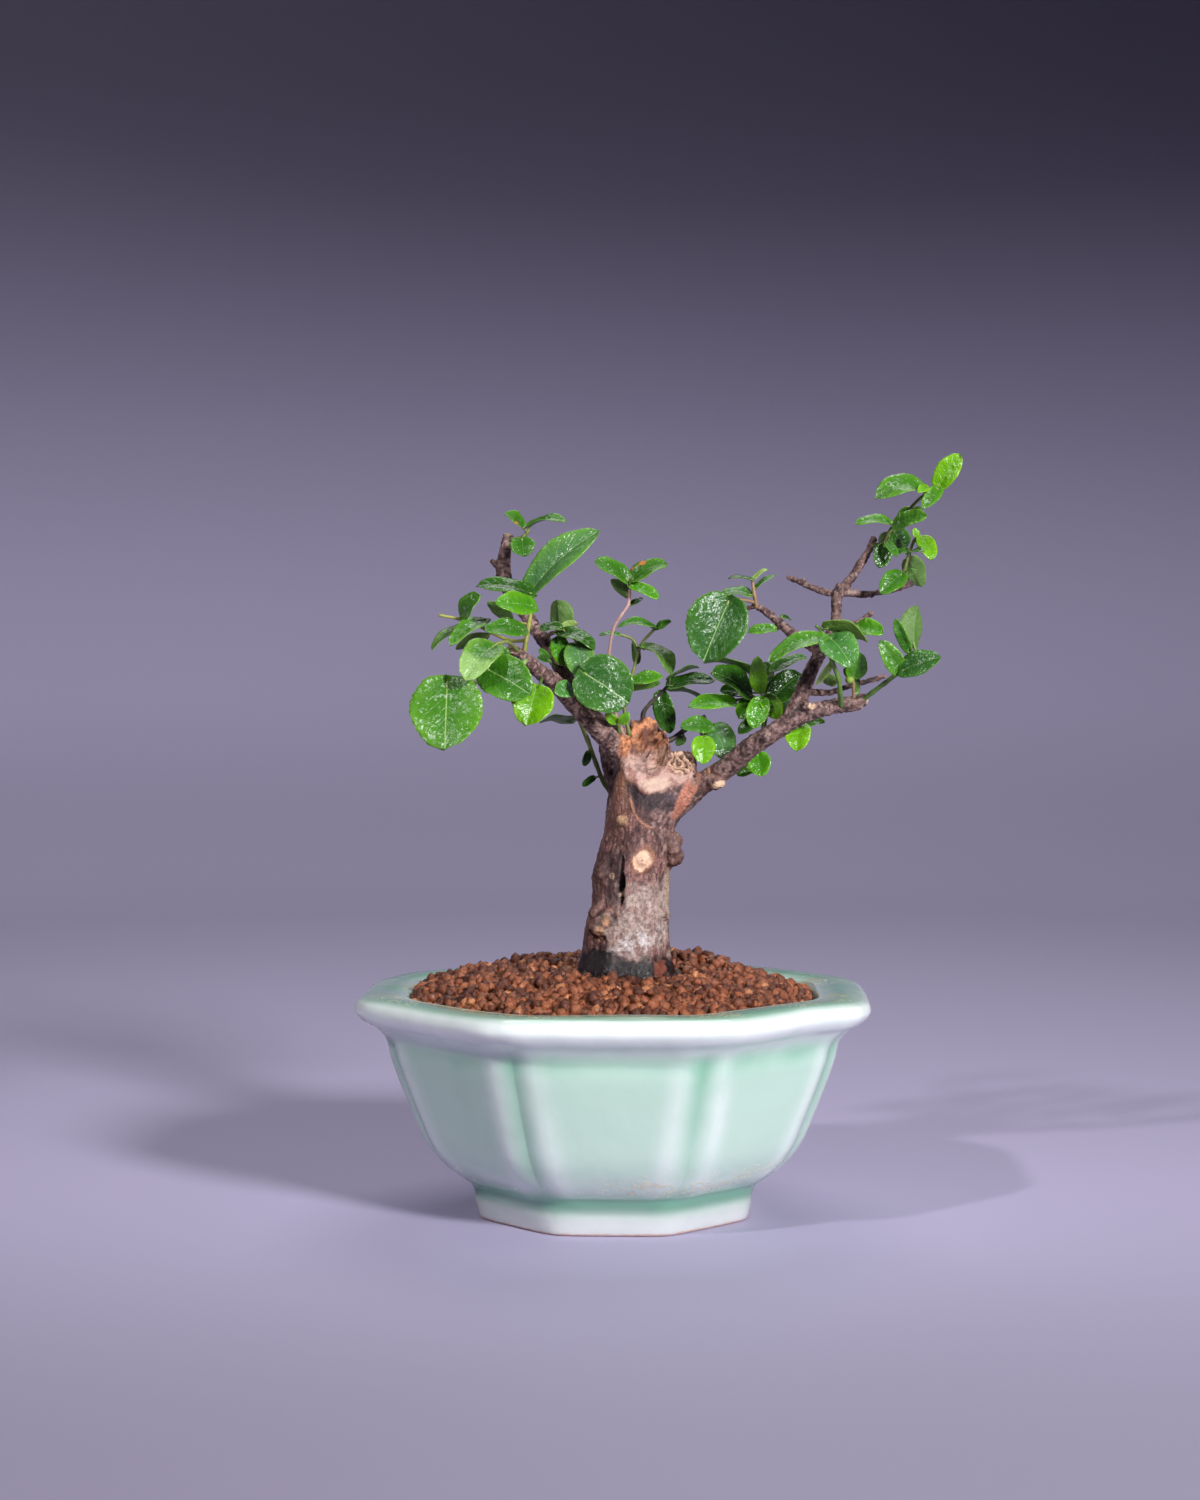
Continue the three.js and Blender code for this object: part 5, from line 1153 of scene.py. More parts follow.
# Each shoot: its node, its slot, the tone of its stems, the stems as places with their radius, the leaves as
# base, tip, width, the way the face looks, arch, fold and tone, and its berries as places with their radius.
SHOOTS = [
    ("leaves_left_crown", "leaf_green", "olive", [
        [(-31, 6.5, 200.6, 0.6), (-28, 5.5, 201, 0.6), (-25.8, 5, 202.6, 0.5)],
    ], [
        ((-27.3, 5, 204), (-33, 4, 208.2), 6.2, (-0.2, -0.7, 1), 0.12, 14, "blotched"),
        ((-25.2, 5, 204.4), (-14.2, 3, 205.8), 5.4, (0, -0.5, 1), 0.13, 14, "green"),
        ((-27.6, 3.6, 200.6), (-27, 2, 195.4), 7.5, (0, -1, 0.2), 0.05, 8, "green"),
    ]),
    ("leaves_left_centre", "leaf_green", "yellow", [
        [(-27.2, -6.4, 165.6, 0.8), (-26.4, -6.6, 170.4, 0.7), (-25.6, -6, 174.6, 0.65),
         (-24.8, -5, 180, 0.6), (-24.1, -3.6, 186, 0.5)],
        [(-26.4, -6.4, 170.4, 0.6), (-31, -3.4, 170.4, 0.55), (-37, -3, 172.8, 0.5), (-43, -4.4, 176, 0.5),
         (-52.4, -6, 178, 0.45)],
    ], [
        ((-24.2, -3.6, 186.2), (-4.2, -7, 203.2), 11, (-0.55, -1, 0.35), 0.1, 20, "glossy"),
        ((-25, -4.5, 184.4), (-41.2, -5.4, 186.6), 7.6, (0, -0.75, 1), 0.1, 8, "dark"),
        ((-24.6, -7.6, 180.8), (-35.4, -12, 181.2), 7.8, (0, -1, 0.4), 0.06, 8, "bright"),
        ((-27.3, -9, 173.4), (-38.8, -11.5, 173.6), 6.5, (0, -1, 0.7), 0.08, 10, "green"),
        ((-31.4, -5, 176.8), (-38, -5.4, 181.8), 4.8, (0.3, 1, 0.6), 0.06, 10, "under"),
        ((-45.4, -6, 177.8), (-40, -9, 184), 7.2, (-0.5, -1, 0.5), 0.08, 10, "spotted"),
        ((-44.4, -4, 175), (-54.6, -8.6, 167.6), 5.6, (0.6, 0.6, 1), 0.08, 10, "under"),
        ((-39, -6, 176), (-49.2, -11, 169), 6.4, (-0.3, -1, 0.8), 0.1, 12, "spotted"),
        ((-38.4, -2.6, 171.4), (-47.4, -4, 167.8), 4.4, (0, 1, 0.8), 0.08, 10, "under"),
    ]),
    ("leaves_left_outer", "leaf_green", "pale", [
        [(-26.5, -7.4, 164.4, 0.8), (-30, -11, 161, 0.65), (-36, -12.6, 159.6, 0.6),
         (-41, -13.4, 158, 0.55), (-49.6, -14, 158.4, 0.5)],
    ], [
        ((-50, -14.6, 157.4), (-50.7, -19, 137.8), 21, (0, -1, 0.15), 0.03, 6, "spotted"),
        ((-38, -14, 161.8), (-25, -17, 154.2), 13.8, (0, -1, 0.35), 0.07, 10, "green"),
        ((-36.4, -12.4, 158.2), (-38.8, -12, 155), 4, (-0.3, -1, 0), 0.1, 14, "pale"),
    ]),
    ("leaves_left_tip", "leaf_green", "olive", [
        [(-28.4, -7.2, 166.6, 0.7), (-31.6, -11, 169.8, 0.6), (-35, -12.4, 169.6, 0.5)],
    ], [
        ((-36.4, -12.8, 168.4), (-44.8, -18, 158.4), 10.6, (-0.2, -1, 0.3), 0.14, 12, "two_tone"),
        ((-34, -12, 168.2), (-32.2, -11, 161.8), 4, (0.8, -1, 0), 0.06, 14, "green"),
    ]),
    ("leaves_left_lime", "leaf_lime", "green", [
        [(-21.6, -4.4, 159.4, 0.6), (-22.4, -8, 156.8, 0.5), (-22.4, -10.6, 155.8, 0.5)],
    ], [
        ((-23.6, -11, 155.8), (-26.4, -13.4, 145), 12.6, (0.1, -1, 0.3), 0.12, 12, "lime"),
    ]),
    ("leaves_left_button", "leaf_green", "green", [
        [(-13.4, -2, 154.4, 0.6), (-13.4, -6, 155.4, 0.5)],
    ], [
        ((-13.2, -6, 155.7), (-18, -9, 155), 5.8, (0, -1, 0.2), 0.1, 8, "frosted"),
    ]),
    ("leaves_left_broad", "leaf_dark", "green", [
        [(-9.6, -1, 150, 0.8), (-9.6, -6, 154, 0.6), (-8, -9, 158.6, 0.5)],
    ], [
        ((-9, -9.4, 160.6), (4.4, -13, 151.6), 17.6, (0, -1, 0.3), 0.08, 10, "cool"),
    ], (-7.6, -8.4, 160.2, 0.8)),
    ("leaves_left_small", "leaf_lime", "green", [
        [(1.4, -2, 142.6, 0.6), (1.2, -4.4, 145.6, 0.5)],
    ], [
        ((0.5, -4.4, 145.9), (-2.6, -6, 149), 3, (-0.4, -1, 0.2), 0.1, 14, "lime"),
        ((1.9, -4.8, 145.9), (4.2, -6.4, 149), 3.2, (0.4, -1, 0.2), 0.1, 14, "lime"),
    ]),
    ("leaves_left_back", "leaf_green", "tan", [
        [(-21.2, 4.4, 170.4, 0.8), (-18.6, 2, 172.6, 0.65), (-15.6, 0.6, 172.6, 0.6),
         (-12, -0.6, 171, 0.5)],
    ], [
        ((-16.2, 3, 174), (-17, 2, 182.6), 8, (0.4, 1, 0.2), 0.06, 26, "under"),
        ((-15.8, 1.6, 173.8), (-11, 2.6, 175.6), 3.4, (0.2, 1, 0.6), 0.08, 10, "pale"),
        ((-16, -1.4, 174.2), (-22.4, -1.4, 173.6), 4.6, (0, -0.7, 1), 0.12, 8, "dark"),
        ((-16.6, -0.4, 172.2), (-5.8, -5, 167.8), 7, (0.1, -0.6, 1), 0.16, 10, "dark"),
        ((-16.8, -0.4, 170.8), (-14.8, -3, 162.8), 6, (-0.2, -1, 0.2), 0.08, 10, "bright"),
        ((-11, -2.2, 169), (-9.6, -5.6, 159), 9, (0, -1, 0.3), 0.1, 12, "glossy"),
    ]),
    ("leaves_left_fork", "leaf_green", "green", [
        [(-15.8, 1, 161.8, 0.6), (-18.4, -1, 163.6, 0.5), (-19.8, -2, 164.6, 0.45)],
    ], [
        ((-20, -2, 165), (-22.6, -3, 168), 2.4, (-0.2, -1, 0.4), 0.08, 12, "green"),
        ((-20, -2.6, 164.5), (-23, -4.2, 165), 2.8, (0, -1, 0.5), 0.08, 12, "dark"),
    ]),
    ("leaves_left_low", "leaf_dark", "olive", [
        [(2.4, 6, 120.6, 0.9), (-2.8, 10.6, 127.4, 0.8), (-5.4, 11, 133.4, 0.75), (-8, 9.6, 140.6, 0.75),
         (-10.8, 7.6, 147.4, 0.7)],
    ], [
        ((-13, 6.6, 145.8), (-22.2, 2, 146), 8.6, (0, 0.3, 1), 0.08, 8, "dark"),
        ((-7.8, 8.6, 137), (-9.2, 8, 132.8), 2.7, (0.4, -1, 0.1), 0.08, 10, "dark"),
        ((-6, 9.8, 129.4), (-9.6, 9, 126.8), 2.4, (0, -1, 0.5), 0.08, 10, "dark"),
    ]),
    ("leaves_stump_tall", "leaf_green", "pink", [
        [(3, -1, 141.4, 0.7), (-0.4, -3, 151, 0.6), (-1.5, -4, 159, 0.55), (-1.6, -5, 166, 0.5),
         (-0.4, -7, 173.5, 0.5), (1.7, -8, 177.4, 0.5), (4.2, -8, 181.4, 0.5), (4.6, -8, 187.4, 0.5)],
    ], [
        ((3.6, -8, 188.7), (-6, -9, 194.2), 6.8, (-0.1, -0.9, 0.9), 0.08, 12, "green"),
        ((5.6, -8.2, 188.6), (15.8, -9, 193.2), 7.2, (0, -0.8, 0.9), 0.14, 12, "blotched"),
        ((5.4, -9.2, 186.6), (13.3, -12, 182.8), 4.4, (0, -0.9, 0.8), 0.1, 12, "bright"),
        ((3.8, -7, 184), (-1.2, -5, 188.5), 4, (0.3, 1, 0.5), 0.08, 10, "under"),
        ((4.8, -7, 180.9), (8.6, -6, 183), 2, (0, -0.8, 0.8), 0.08, 10, "dark"),
    ]),
    ("leaves_stump_left", "leaf_green", "olive", [
        [(4.6, 1, 141.6, 0.7), (3, 1, 150, 0.6), (4, 1, 155, 0.55), (5.6, 1, 161, 0.5), (8, 1, 169, 0.5),
         (11.6, 1, 173.4, 0.45)],
        [(7.4, 1, 167, 0.45), (5.6, 0.4, 170.6, 0.45), (2.4, -0.4, 172, 0.45)],
    ], [
        ((11.6, 0.4, 174), (1, -3.4, 174.4), 4.6, (0, -0.6, 1), 0.16, 14, "green"),
        ((1.6, -0.6, 172), (-4.6, -2, 172), 2.4, (0, -0.6, 1), 0.1, 8, "green"),
        ((12.8, 0.8, 174), (17, -0.6, 176.2), 3, (0, -0.8, 0.7), 0.08, 10, "bright"),
        ((6.6, 2, 164), (5.6, 3, 170.2), 3, (0.5, 1, 0), 0.08, 10, "dark"),
        ((8.6, 0, 168), (17, -4, 160), 9, (0.5, -0.5, 1), 0.2, 14, "under"),
        ((5.6, -1, 158.2), (14.6, -5.6, 159.4), 5.2, (0, -1, 0.8), 0.06, 10, "bright"),
        ((5.4, 0.6, 156.2), (13.8, -1, 157.8), 3.2, (0, 1, 0.5), 0.06, 8, "bright"),
    ]),
    ("leaves_stump_back", "leaf_dark", "dark", [
        [(8.6, 5, 142, 0.9), (8.6, 9, 148.4, 0.75), (10.9, 12, 151.8, 0.65), (13.7, 13, 154.4, 0.6),
         (16.6, 12.6, 157.6, 0.55)],
    ], [
        ((13.8, 13, 154.2), (16.8, 14, 142.6), 6.6, (-0.2, -1, 0.1), 0.06, 12, "dark"),
        ((16.6, 13.4, 159), (25.4, 14, 162.4), 4.4, (0, 0.4, 1), 0.08, 10, "dark"),
        ((17, 12, 156.8), (30, 9, 158.4), 7.4, (0, -0.6, 1), 0.08, 10, "dark"),
        ((16.8, 12.4, 155.4), (26.2, 10, 153.2), 4.6, (0, 0.3, 1), 0.1, 8, "dark"),
    ]),
    ("leaves_stump_right", "leaf_lime", "dark", [
        [(13.6, 4, 139.6, 1), (17, 5.4, 140.8, 0.85), (20.4, 6.6, 143.2, 0.8), (25, 7, 146.4, 0.75),
         (27.2, 6.8, 147.8, 0.6)],
        [(24.8, 6.8, 146, 0.5), (25.6, 3.4, 143.4, 0.5), (26.6, 0.4, 141.6, 0.45)],
        [(26.4, 6.8, 147.2, 0.5), (29.4, 5, 144.6, 0.45)],
    ], [
        ((28.6, 4, 144.6), (19.8, 1, 144.6), 6, (0, -1, 0.6), 0.08, 12, "green"),
        ((26.6, -0.4, 141), (26.4, -3, 133.4), 7.2, (0, -1, 0.2), 0.12, 12, "lime"),
        ((20.8, 5.8, 141.4), (18.6, 7, 139), 3, (0, 1, 0.5), 0.06, 8, "dark"),
        ((29.8, 4.4, 144.2), (34.2, 1.4, 135), 9.4, (0, -1, 0.3), 0.08, 10, "glossy"),
    ]),
    ("leaves_middle", "leaf_green", "olive", [
        [(44, -5, 141, 0.9), (45, -1, 147, 0.8), (45, 1, 151.4, 0.7), (44, 0.6, 155, 0.6),
         (43, 3, 158.8, 0.5)],
        [(45, 1, 151.4, 0.6), (40.6, 4, 153, 0.55), (36.4, 5, 152.6, 0.5)],
        [(45, 1, 150.4, 0.6), (46.6, 4.6, 154, 0.55), (47, 5.4, 160.6, 0.5)],
    ], [
        ((43.4, -0.6, 156), (42.8, -3, 165.8), 5.4, (-0.2, -1, 0), 0.06, 18, "lime"),
        ((44, -1.6, 152.6), (41.4, -3, 144), 6.8, (-0.1, -1, 0.3), 0.08, 12, "bright"),
        ((45.2, -0.8, 153.2), (49, -2.4, 146.8), 6.6, (0.2, -1, 0.4), 0.08, 12, "lime"),
        ((41.6, 2.6, 151.8), (37, 1, 147.2), 6.6, (-0.1, -1, 0.5), 0.08, 10, "bright"),
        ((43.4, 2.2, 146.6), (37, 3, 142.6), 5, (0, -0.8, 0.8), 0.08, 10, "green"),
        ((41.4, 3.8, 160), (26.6, 2, 163.8), 6, (0, 0.3, 1), 0.12, 10, "dark"),
        ((40.2, 3.4, 154.6), (29, 0, 161), 11.4, (-0.1, -0.8, 0.8), 0.08, 12, "dark"),
        ((40.2, 5.6, 154.8), (31.5, 6, 155.4), 5.6, (0, -0.8, 0.6), 0.06, 10, "dark"),
        ((35, 3.8, 151.6), (22, 2.4, 150.4), 6.4, (0, -0.9, 0.8), 0.1, 12, "bright"),
        ((47.4, 3, 153.6), (56, 4.4, 160.4), 9, (0, -1, 0.5), 0.08, 10, "dark"),
        ((46.6, 5.4, 152), (53, 8, 148.8), 6, (0, -1, 0.3), 0.08, 10, "dark"),
        ((46, 7, 155.6), (45.2, 9.6, 164), 5, (-0.2, -1, 0), 0.08, 10, "dark"),
        ((47.6, 6, 161.4), (57.4, 8, 165.4), 5, (0, -0.6, 1), 0.1, 10, "green"),
    ]),
    ("leaves_under_left", "leaf_green", "green", [
        [(42.6, -5.6, 138.6, 0.7), (42.4, -1, 136.8, 0.5)],
    ], [
        ((41.4, 0.4, 136.4), (36.8, -1, 130), 7.4, (0, -1, 0.2), 0.06, 12, "bright"),
        ((42.8, -2.4, 136.4), (43.9, -4, 129.6), 7.2, (0, -1, 0), 0.06, 12, "bright"),
    ]),
    ("leaves_under_right", "leaf_lime", "green", [
        [(54.6, -6, 146.4, 0.7), (55, -2, 145.4, 0.5)],
    ], [
        ((54.6, -2, 145.4), (54.6, -4.6, 137.2), 8, (0, -1, 0.2), 0.08, 12, "lime"),
        ((57, -1.6, 145.4), (63, -1, 146.2), 3, (0, -0.8, 0.8), 0.06, 10, "bright"),
    ]),
    ("leaves_twig_left", "leaf_green", "tan", [
        [(42.6, -4.4, 180, 0.7), (41.8, -4.8, 184, 0.6), (41.2, -4.8, 188.4, 0.45)],
        [(41.8, -4.6, 181.8, 0.55), (38, -6, 182.6, 0.5), (34.6, -6.6, 182.4, 0.5)],
    ], [
        ((34, -7, 181.8), (26.6, -10, 164.2), 18, (-0.1, -1, 0.2), 0.05, 28, "cool"),
        ((40.4, -4.8, 184), (31.9, -6, 184), 7, (0, -0.45, 1), 0.12, 8, "green"),
        ((40.8, -5, 188.4), (34, -5.6, 188.9), 3.4, (0, -0.3, 1), 0.1, 8, "dark"),
        ((41.7, -4.6, 188.8), (45.6, -4, 191.7), 2.8, (-0.3, -0.4, 1), 0.08, 8, "pale"),
        ((42.2, -4.6, 186), (48.2, -4, 190), 2.8, (-0.4, -0.5, 1), 0.08, 8, "green"),
    ]),
    ("leaf_twig_middle", "leaf_lime", "green", [
        [(48, -5, 173.6, 0.5), (47.8, -6.4, 173.4, 0.45)],
    ], [
        ((47.6, -6.4, 173.8), (39.8, -8, 172.8), 4, (0, -0.9, 0.8), 0.08, 10, "spotted"),
    ]),
    ("leaf_twig_upper", "leaf_green", "green", [
        [(49.2, -4.6, 176, 0.5), (50, -2.6, 177.6, 0.45)],
    ], [
        ((49.9, -2.4, 177.4), (52.8, -1, 176.4), 2.2, (0, -0.8, 0.8), 0.08, 10, "dark"),
    ]),
    ("leaves_right_front", "leaf_green", "green", [
        [(67.6, -6.6, 150.8, 0.9), (67.5, -9, 154.6, 0.8), (67, -10, 159, 0.75), (65, -11, 164.4, 0.7),
         (64.2, -11, 168, 0.65), (62.4, -10.4, 172.4, 0.55), (60.3, -9.6, 174.8, 0.5)],
    ], [
        ((64.6, -11.4, 171), (71, -15, 162.4), 10.6, (0.1, -1, 0.3), 0.12, 10, "frosted"),
        ((63.4, -11, 174), (75.8, -14, 170), 7.8, (0.2, 0.7, 1), 0.1, 10, "olive"),
        ((62, -11, 171), (46.1, -12.4, 164), 7, (-0.2, -0.8, 1), 0.13, 10, "spotted"),
        ((64.6, -10.4, 163.6), (60.2, -9.4, 157.2), 2.6, (0.8, -1, 0.3), 0.05, 6, "pale"),
        ((66, -8.6, 158.4), (62.4, -7.6, 158.2), 3.8, (0, 1, 0.3), 0.06, 8, "under"),
    ]),
    ("leaves_right_berry", "leaf_green", "tan", [
        [(71.6, -6, 151.4, 0.7), (71.4, -7.4, 157.4, 0.5), (71.2, -7.4, 159.6, 0.45)],
    ], [
        ((71.4, -7.6, 159.6), (73.2, -9, 167), 6.4, (0.2, -1, 0.2), 0.06, 10, "bright"),
        ((72, -6.6, 154.6), (72.6, -6, 159.6), 2.6, (0.8, -1, 0), 0.06, 8, "under"),
        ((70.6, -7.6, 159.4), (69, -8.4, 162.4), 2.6, (0, 1, 0.2), 0.06, 8, "green"),
    ], (70.2, -8.6, 158.6, 1.2)),
    ("leaf_right_lime", "leaf_lime", "green", [
        [(72.3, -6, 175.6, 0.6), (72.6, -7.6, 174.6, 0.5)],
    ], [
        ((72.8, -7.8, 174.4), (80.4, -11, 172.4), 6.2, (0, -1, 0.5), 0.08, 12, "bright"),
    ]),
    ("leaves_right_end", "leaf_green", "green", [
        [(73.4, -6, 151.8, 0.9), (77, -7.4, 154.8, 0.75), (80.5, -8.4, 157.4, 0.75),
         (84, -9.6, 160.2, 0.7), (87, -10.4, 163.2, 0.6), (88.2, -10, 167.4, 0.5)],
        [(86.8, -10.2, 162.6, 0.6), (90.6, -9.4, 166.4, 0.5)],
    ], [
        ((85, -10.6, 161.4), (79.4, -12.4, 170.4), 6, (-0.2, -1, 0.4), 0.08, 14, "spotted"),
        ((86.2, -11.4, 161.4), (97.7, -13.8, 165.4), 7.8, (0.1, -1, 0.5), 0.08, 12, "cool"),
        ((89.4, -9, 169.4), (90.6, -8, 181), 8, (-0.6, 1, 0), 0.08, 18, "under"),
        ((87.8, -10.8, 167.8), (83.9, -11.4, 177), 3.6, (-0.5, -1, 0), 0.06, 12, "green"),
    ]),
    ("leaves_top_east", "leaf_green", "olive", [
        [(85.6, -2.4, 186.4, 0.7), (86.4, -4.6, 190.4, 0.65), (87.6, -5.4, 195, 0.6),
         (89.4, -5.6, 200, 0.5), (91.4, -5.6, 201.8, 0.45)],
    ], [
        ((91.8, -5.8, 200.8), (95, -8, 194.4), 5.6, (0.2, -1, 0.1), 0.08, 10, "lime"),
        ((90, -5.8, 201.4), (89.6, -5.6, 204), 2.4, (0.4, -1, 0), 0.06, 8, "lime"),
        ((88, -6.6, 196.4), (92.4, -10, 197), 3.4, (0, -0.9, 0.8), 0.08, 10, "green"),
        ((87.4, -5, 197.2), (83.6, -4, 196.4), 2.8, (0, -0.9, 0.8), 0.08, 10, "green"),
        ((88.4, -2.6, 194.2), (91.8, 0.6, 186.4), 6.8, (0.1, 1, 0.1), 0.06, 10, "under"),
        ((85.6, -5.6, 190), (79.5, -8, 184.4), 6.4, (-0.2, -1, 0.2), 0.08, 12, "green"),
        ((87.4, -5.6, 190.4), (90.4, -6.4, 191.2), 2.4, (0, -1, 0.4), 0.06, 8, "under"),
    ]),
    ("leaves_top", "leaf_green", "olive", [
        [(76.6, -3, 198.6, 0.8), (80, -4.4, 199.6, 0.65), (82.6, -5, 203.6, 0.6), (86.4, -5.6, 207.6, 0.6),
         (91, -6, 212.6, 0.5), (96.4, -6, 216.4, 0.45)],
    ], [
        ((96.8, -6, 216.8), (103.2, -7, 226), 7, (-0.2, -1, 0.3), 0.05, 12, "lime"),
        ((91.8, -6.8, 214.8), (77.8, -9, 212.6), 9.6, (-0.2, -0.9, 0.9), 0.24, 10, "spotted"),
        ((93.4, -8, 216), (90.6, -11.4, 214.4), 3.2, (0, -1, 0.4), 0.08, 10, "lime"),
        ((96.6, -7.4, 215.4), (91.8, -10, 209.8), 4.4, (0.3, -1, 0.6), 0.08, 10, "spotted"),
        ((82.2, -5.6, 205.4), (72, -7, 205.2), 4.8, (-0.1, -0.8, 1), 0.12, 10, "spotted"),
        ((85.4, -4.4, 206.8), (91.8, -3.8, 209.6), 5, (-0.3, -0.9, 0.7), 0.08, 10, "bright"),
        ((84.2, -7.6, 204.8), (93.3, -12, 207.6), 6, (0.1, -1, 0.4), 0.08, 10, "spotted"),
        ((83.4, -3.4, 203), (87, -1, 197.6), 6.4, (0, -1, 0.1), 0.06, 10, "dark"),
        ((81.6, -3.6, 202), (79.4, -0.6, 199.4), 3.2, (0, -1, 0.2), 0.06, 10, "olive"),
        ((80.4, -4.4, 198.4), (79.2, -5.4, 192), 5.6, (0, -1, 0), 0.06, 10, "dark"),
        ((81.4, -5.6, 199.4), (84.4, -7.6, 195.4), 3, (0.3, -1, 0), 0.06, 10, "green"),
    ]),
]

# Leaf tones: middle colour, colour near the edge, white spots, brown blotches, gloss
LEAF_TONES = {
    "green": ((48, 102, 16), (80, 138, 28), 0.3, 0.0, 0.55),
    "bright": ((66, 132, 16), (106, 166, 30), 0.3, 0.0, 0.65),
    "dark": ((34, 76, 14), (60, 110, 24), 0.25, 0.0, 0.8),
    "cool": ((44, 92, 30), (66, 116, 36), 0.65, 0.0, 0.55),
    "lime": ((98, 158, 8), (132, 188, 20), 0.2, 0.0, 0.6),
    "olive": ((84, 118, 30), (112, 142, 44), 0.05, 0.0, 0.3),
    "pale": ((146, 176, 84), (172, 196, 106), 0.1, 0.0, 0.3),
    "spotted": ((60, 116, 20), (96, 152, 32), 1.0, 0.0, 0.5),
    "frosted": ((66, 122, 52), (92, 146, 66), 1.0, 0.0, 0.7),
    # the glossy leaves are glossier, and also painted paler and bluer as a sheen
    "glossy": ((74, 118, 66), (104, 156, 56), 0.35, 0.0, 1.0),
    "blotched": ((50, 104, 18), (88, 140, 30), 0.2, 1.0, 0.5),
    "two_tone": ((58, 112, 26), (122, 168, 62), 0.6, 0.0, 0.55),
    "under": ((72, 110, 40), (98, 136, 52), 0.05, 0.0, 0.2),
}
STEM_TONES = {
    "green": (96, 132, 58),
    "olive": (122, 134, 70),
    "yellow": (156, 158, 72),
    "pale": (172, 196, 128),
    "pink": (188, 150, 142),
    "tan": (156, 126, 92),
    "dark": (62, 52, 42),
}


# The place on the stems that the stalk of a leaf leaves from: near, and in line with the blade
def stalk_root(base, along, stems):
    best = None
    for stem in stems:
        points = [in_depth(place) for place in stem]
        for start, end in zip(points, points[1:]):
            for share in (0.1, 0.4, 0.7, 0.97):
                place = start + (end - start) * share
                run = base - place
                cost = np.linalg.norm(run) * (2 - unit(run).dot(along))
                if best is None or cost < best[0]:
                    best = (cost, place)
    return best[1]


# The upper and lower faces of a thin sheet, and the strip round its edge
def sheet_faces(stations, columns):
    faces = []
    lower = (stations + 1) * columns
    for i in range(stations):
        for j in range(columns - 1):
            a, b = i * columns + j, i * columns + j + 1
            c, d = b + columns, a + columns
            faces.append((a, b, c, d))
            faces.append((lower + d, lower + c, lower + b, lower + a))
    rim = list(range(columns))
    rim += [i * columns + columns - 1 for i in range(1, stations + 1)]
    rim += [stations * columns + j for j in range(columns - 2, -1, -1)]
    rim += [i * columns for i in range(stations - 1, 0, -1)]
    for i, start in enumerate(rim):
        end = rim[(i + 1) % len(rim)]
        faces.append((end, start, lower + start, lower + end))
    return faces


# A blade is a sheet of places: s runs from its base to its tip, and v from edge to edge.
def add_blade(skin, base, tip, width, looks, arch, fold, tone, seed):
    length = np.linalg.norm(tip - base)
    along = unit(tip - base)
    face = unit(looks - along * np.dot(looks, along))
    across = np.cross(along, face)
    stations = int(np.clip(length * 2.4, 14, 46))
    columns = 2 * (7 if width > 8 else 5 if width > 4 else 4) + 1
    run = np.linspace(0, 1, stations + 1)[:, None]
    s = run - 0.085 * np.sin(2 * math.pi * run)
    v = np.linspace(-1, 1, columns)[None, :]
    v = np.sign(v) * np.abs(v) ** 0.85
    size = np.abs(v)
    full = np.sin(math.pi * np.clip(0.04 + 0.94 * s ** 0.82, 0, 0.985)) ** 0.56
    full *= np.minimum(s / 0.03, 1) ** 0.5 * np.minimum((1 - s) / 0.07, 1) ** 0.6
    teeth = (s * length / max(1.1, 0.085 * length)) % 1 - 0.5
    half = width / 2 * full * (1 + 0.05 * teeth)
    # the edge waves a little, the blade puffs between its veins, and the midrib is sunk
    wave = 0.05 * width * size ** 2 * np.sin(2 * math.pi * 1.4 * s + seed * 1.7 + 2.2 * (v > 0))
    veins = 5.5 * s - 1.9 * size * width / 12
    puff = 0.011 * width * np.sin(2 * math.pi * veins) * size * (1 - size) * 4
    sunk = -0.02 * width * np.exp(-(size / 0.13) ** 2)
    rise = math.tan(math.radians(fold)) * half * size ** 1.15 + wave + puff + sunk
    rise = rise + arch * length * 4 * s * (1 - s)
    lobe = 0.13 * length * (1 - s) ** 3 * size ** 1.4
    points = (base + along * (length * s - lobe)[..., None] + across * (half * v)[..., None]
              + face * rise[..., None])
    thick = LEAF_THICK * (0.55 + 0.45 * (1 - size ** 2)) * np.minimum(0.5 + width / 8, 1)
    shift = face * (thick / 2)[..., None]
    middle, border, spots, blotches, gloss = LEAF_TONES[tone]
    share = np.clip(size ** 2.2 * 0.8 + 0.25 * (s - 0.5), 0, 1)
    tint = blend(colour(*middle), colour(*border), share)
    if tone == "two_tone":
        tint = blend(tint, colour(176, 210, 132), ramp(0.45, 0.6, s) * 0.5)
    # rust at two places near one edge of the leaf
    rust = np.exp(-((s - 0.42) / 0.13) ** 2 - ((v + 0.72) / 0.34) ** 2)
    rust = rust + np.exp(-((s - 0.16) / 0.08) ** 2 - ((v + 0.9) / 0.3) ** 2)
    marks = {
        "rib": half * size,
        "span": width / 2,
        "vein": veins + 40,
        "edge": size,
        "under": np.array([0.0, 1.0])[:, None, None],
        "spots": spots,
        "blotch": blotches * rust,
        "gloss": gloss,
    }
    marks = {name: np.broadcast_to(value, (2, *rise.shape)).ravel() for name, value in marks.items()}
    sides = np.concatenate([points + shift, points - shift]).reshape(-1, 3)
    tints = np.concatenate([tint, tint]).reshape(-1, 3)
    skin.add(sides, sheet_faces(stations, columns), tint=tints, **marks)


def add_tube(skin, path, radii, sides, tints):
    skin.add(*tube(path, radii, sides), 1, tint=np.repeat(tints, sides, axis=0))


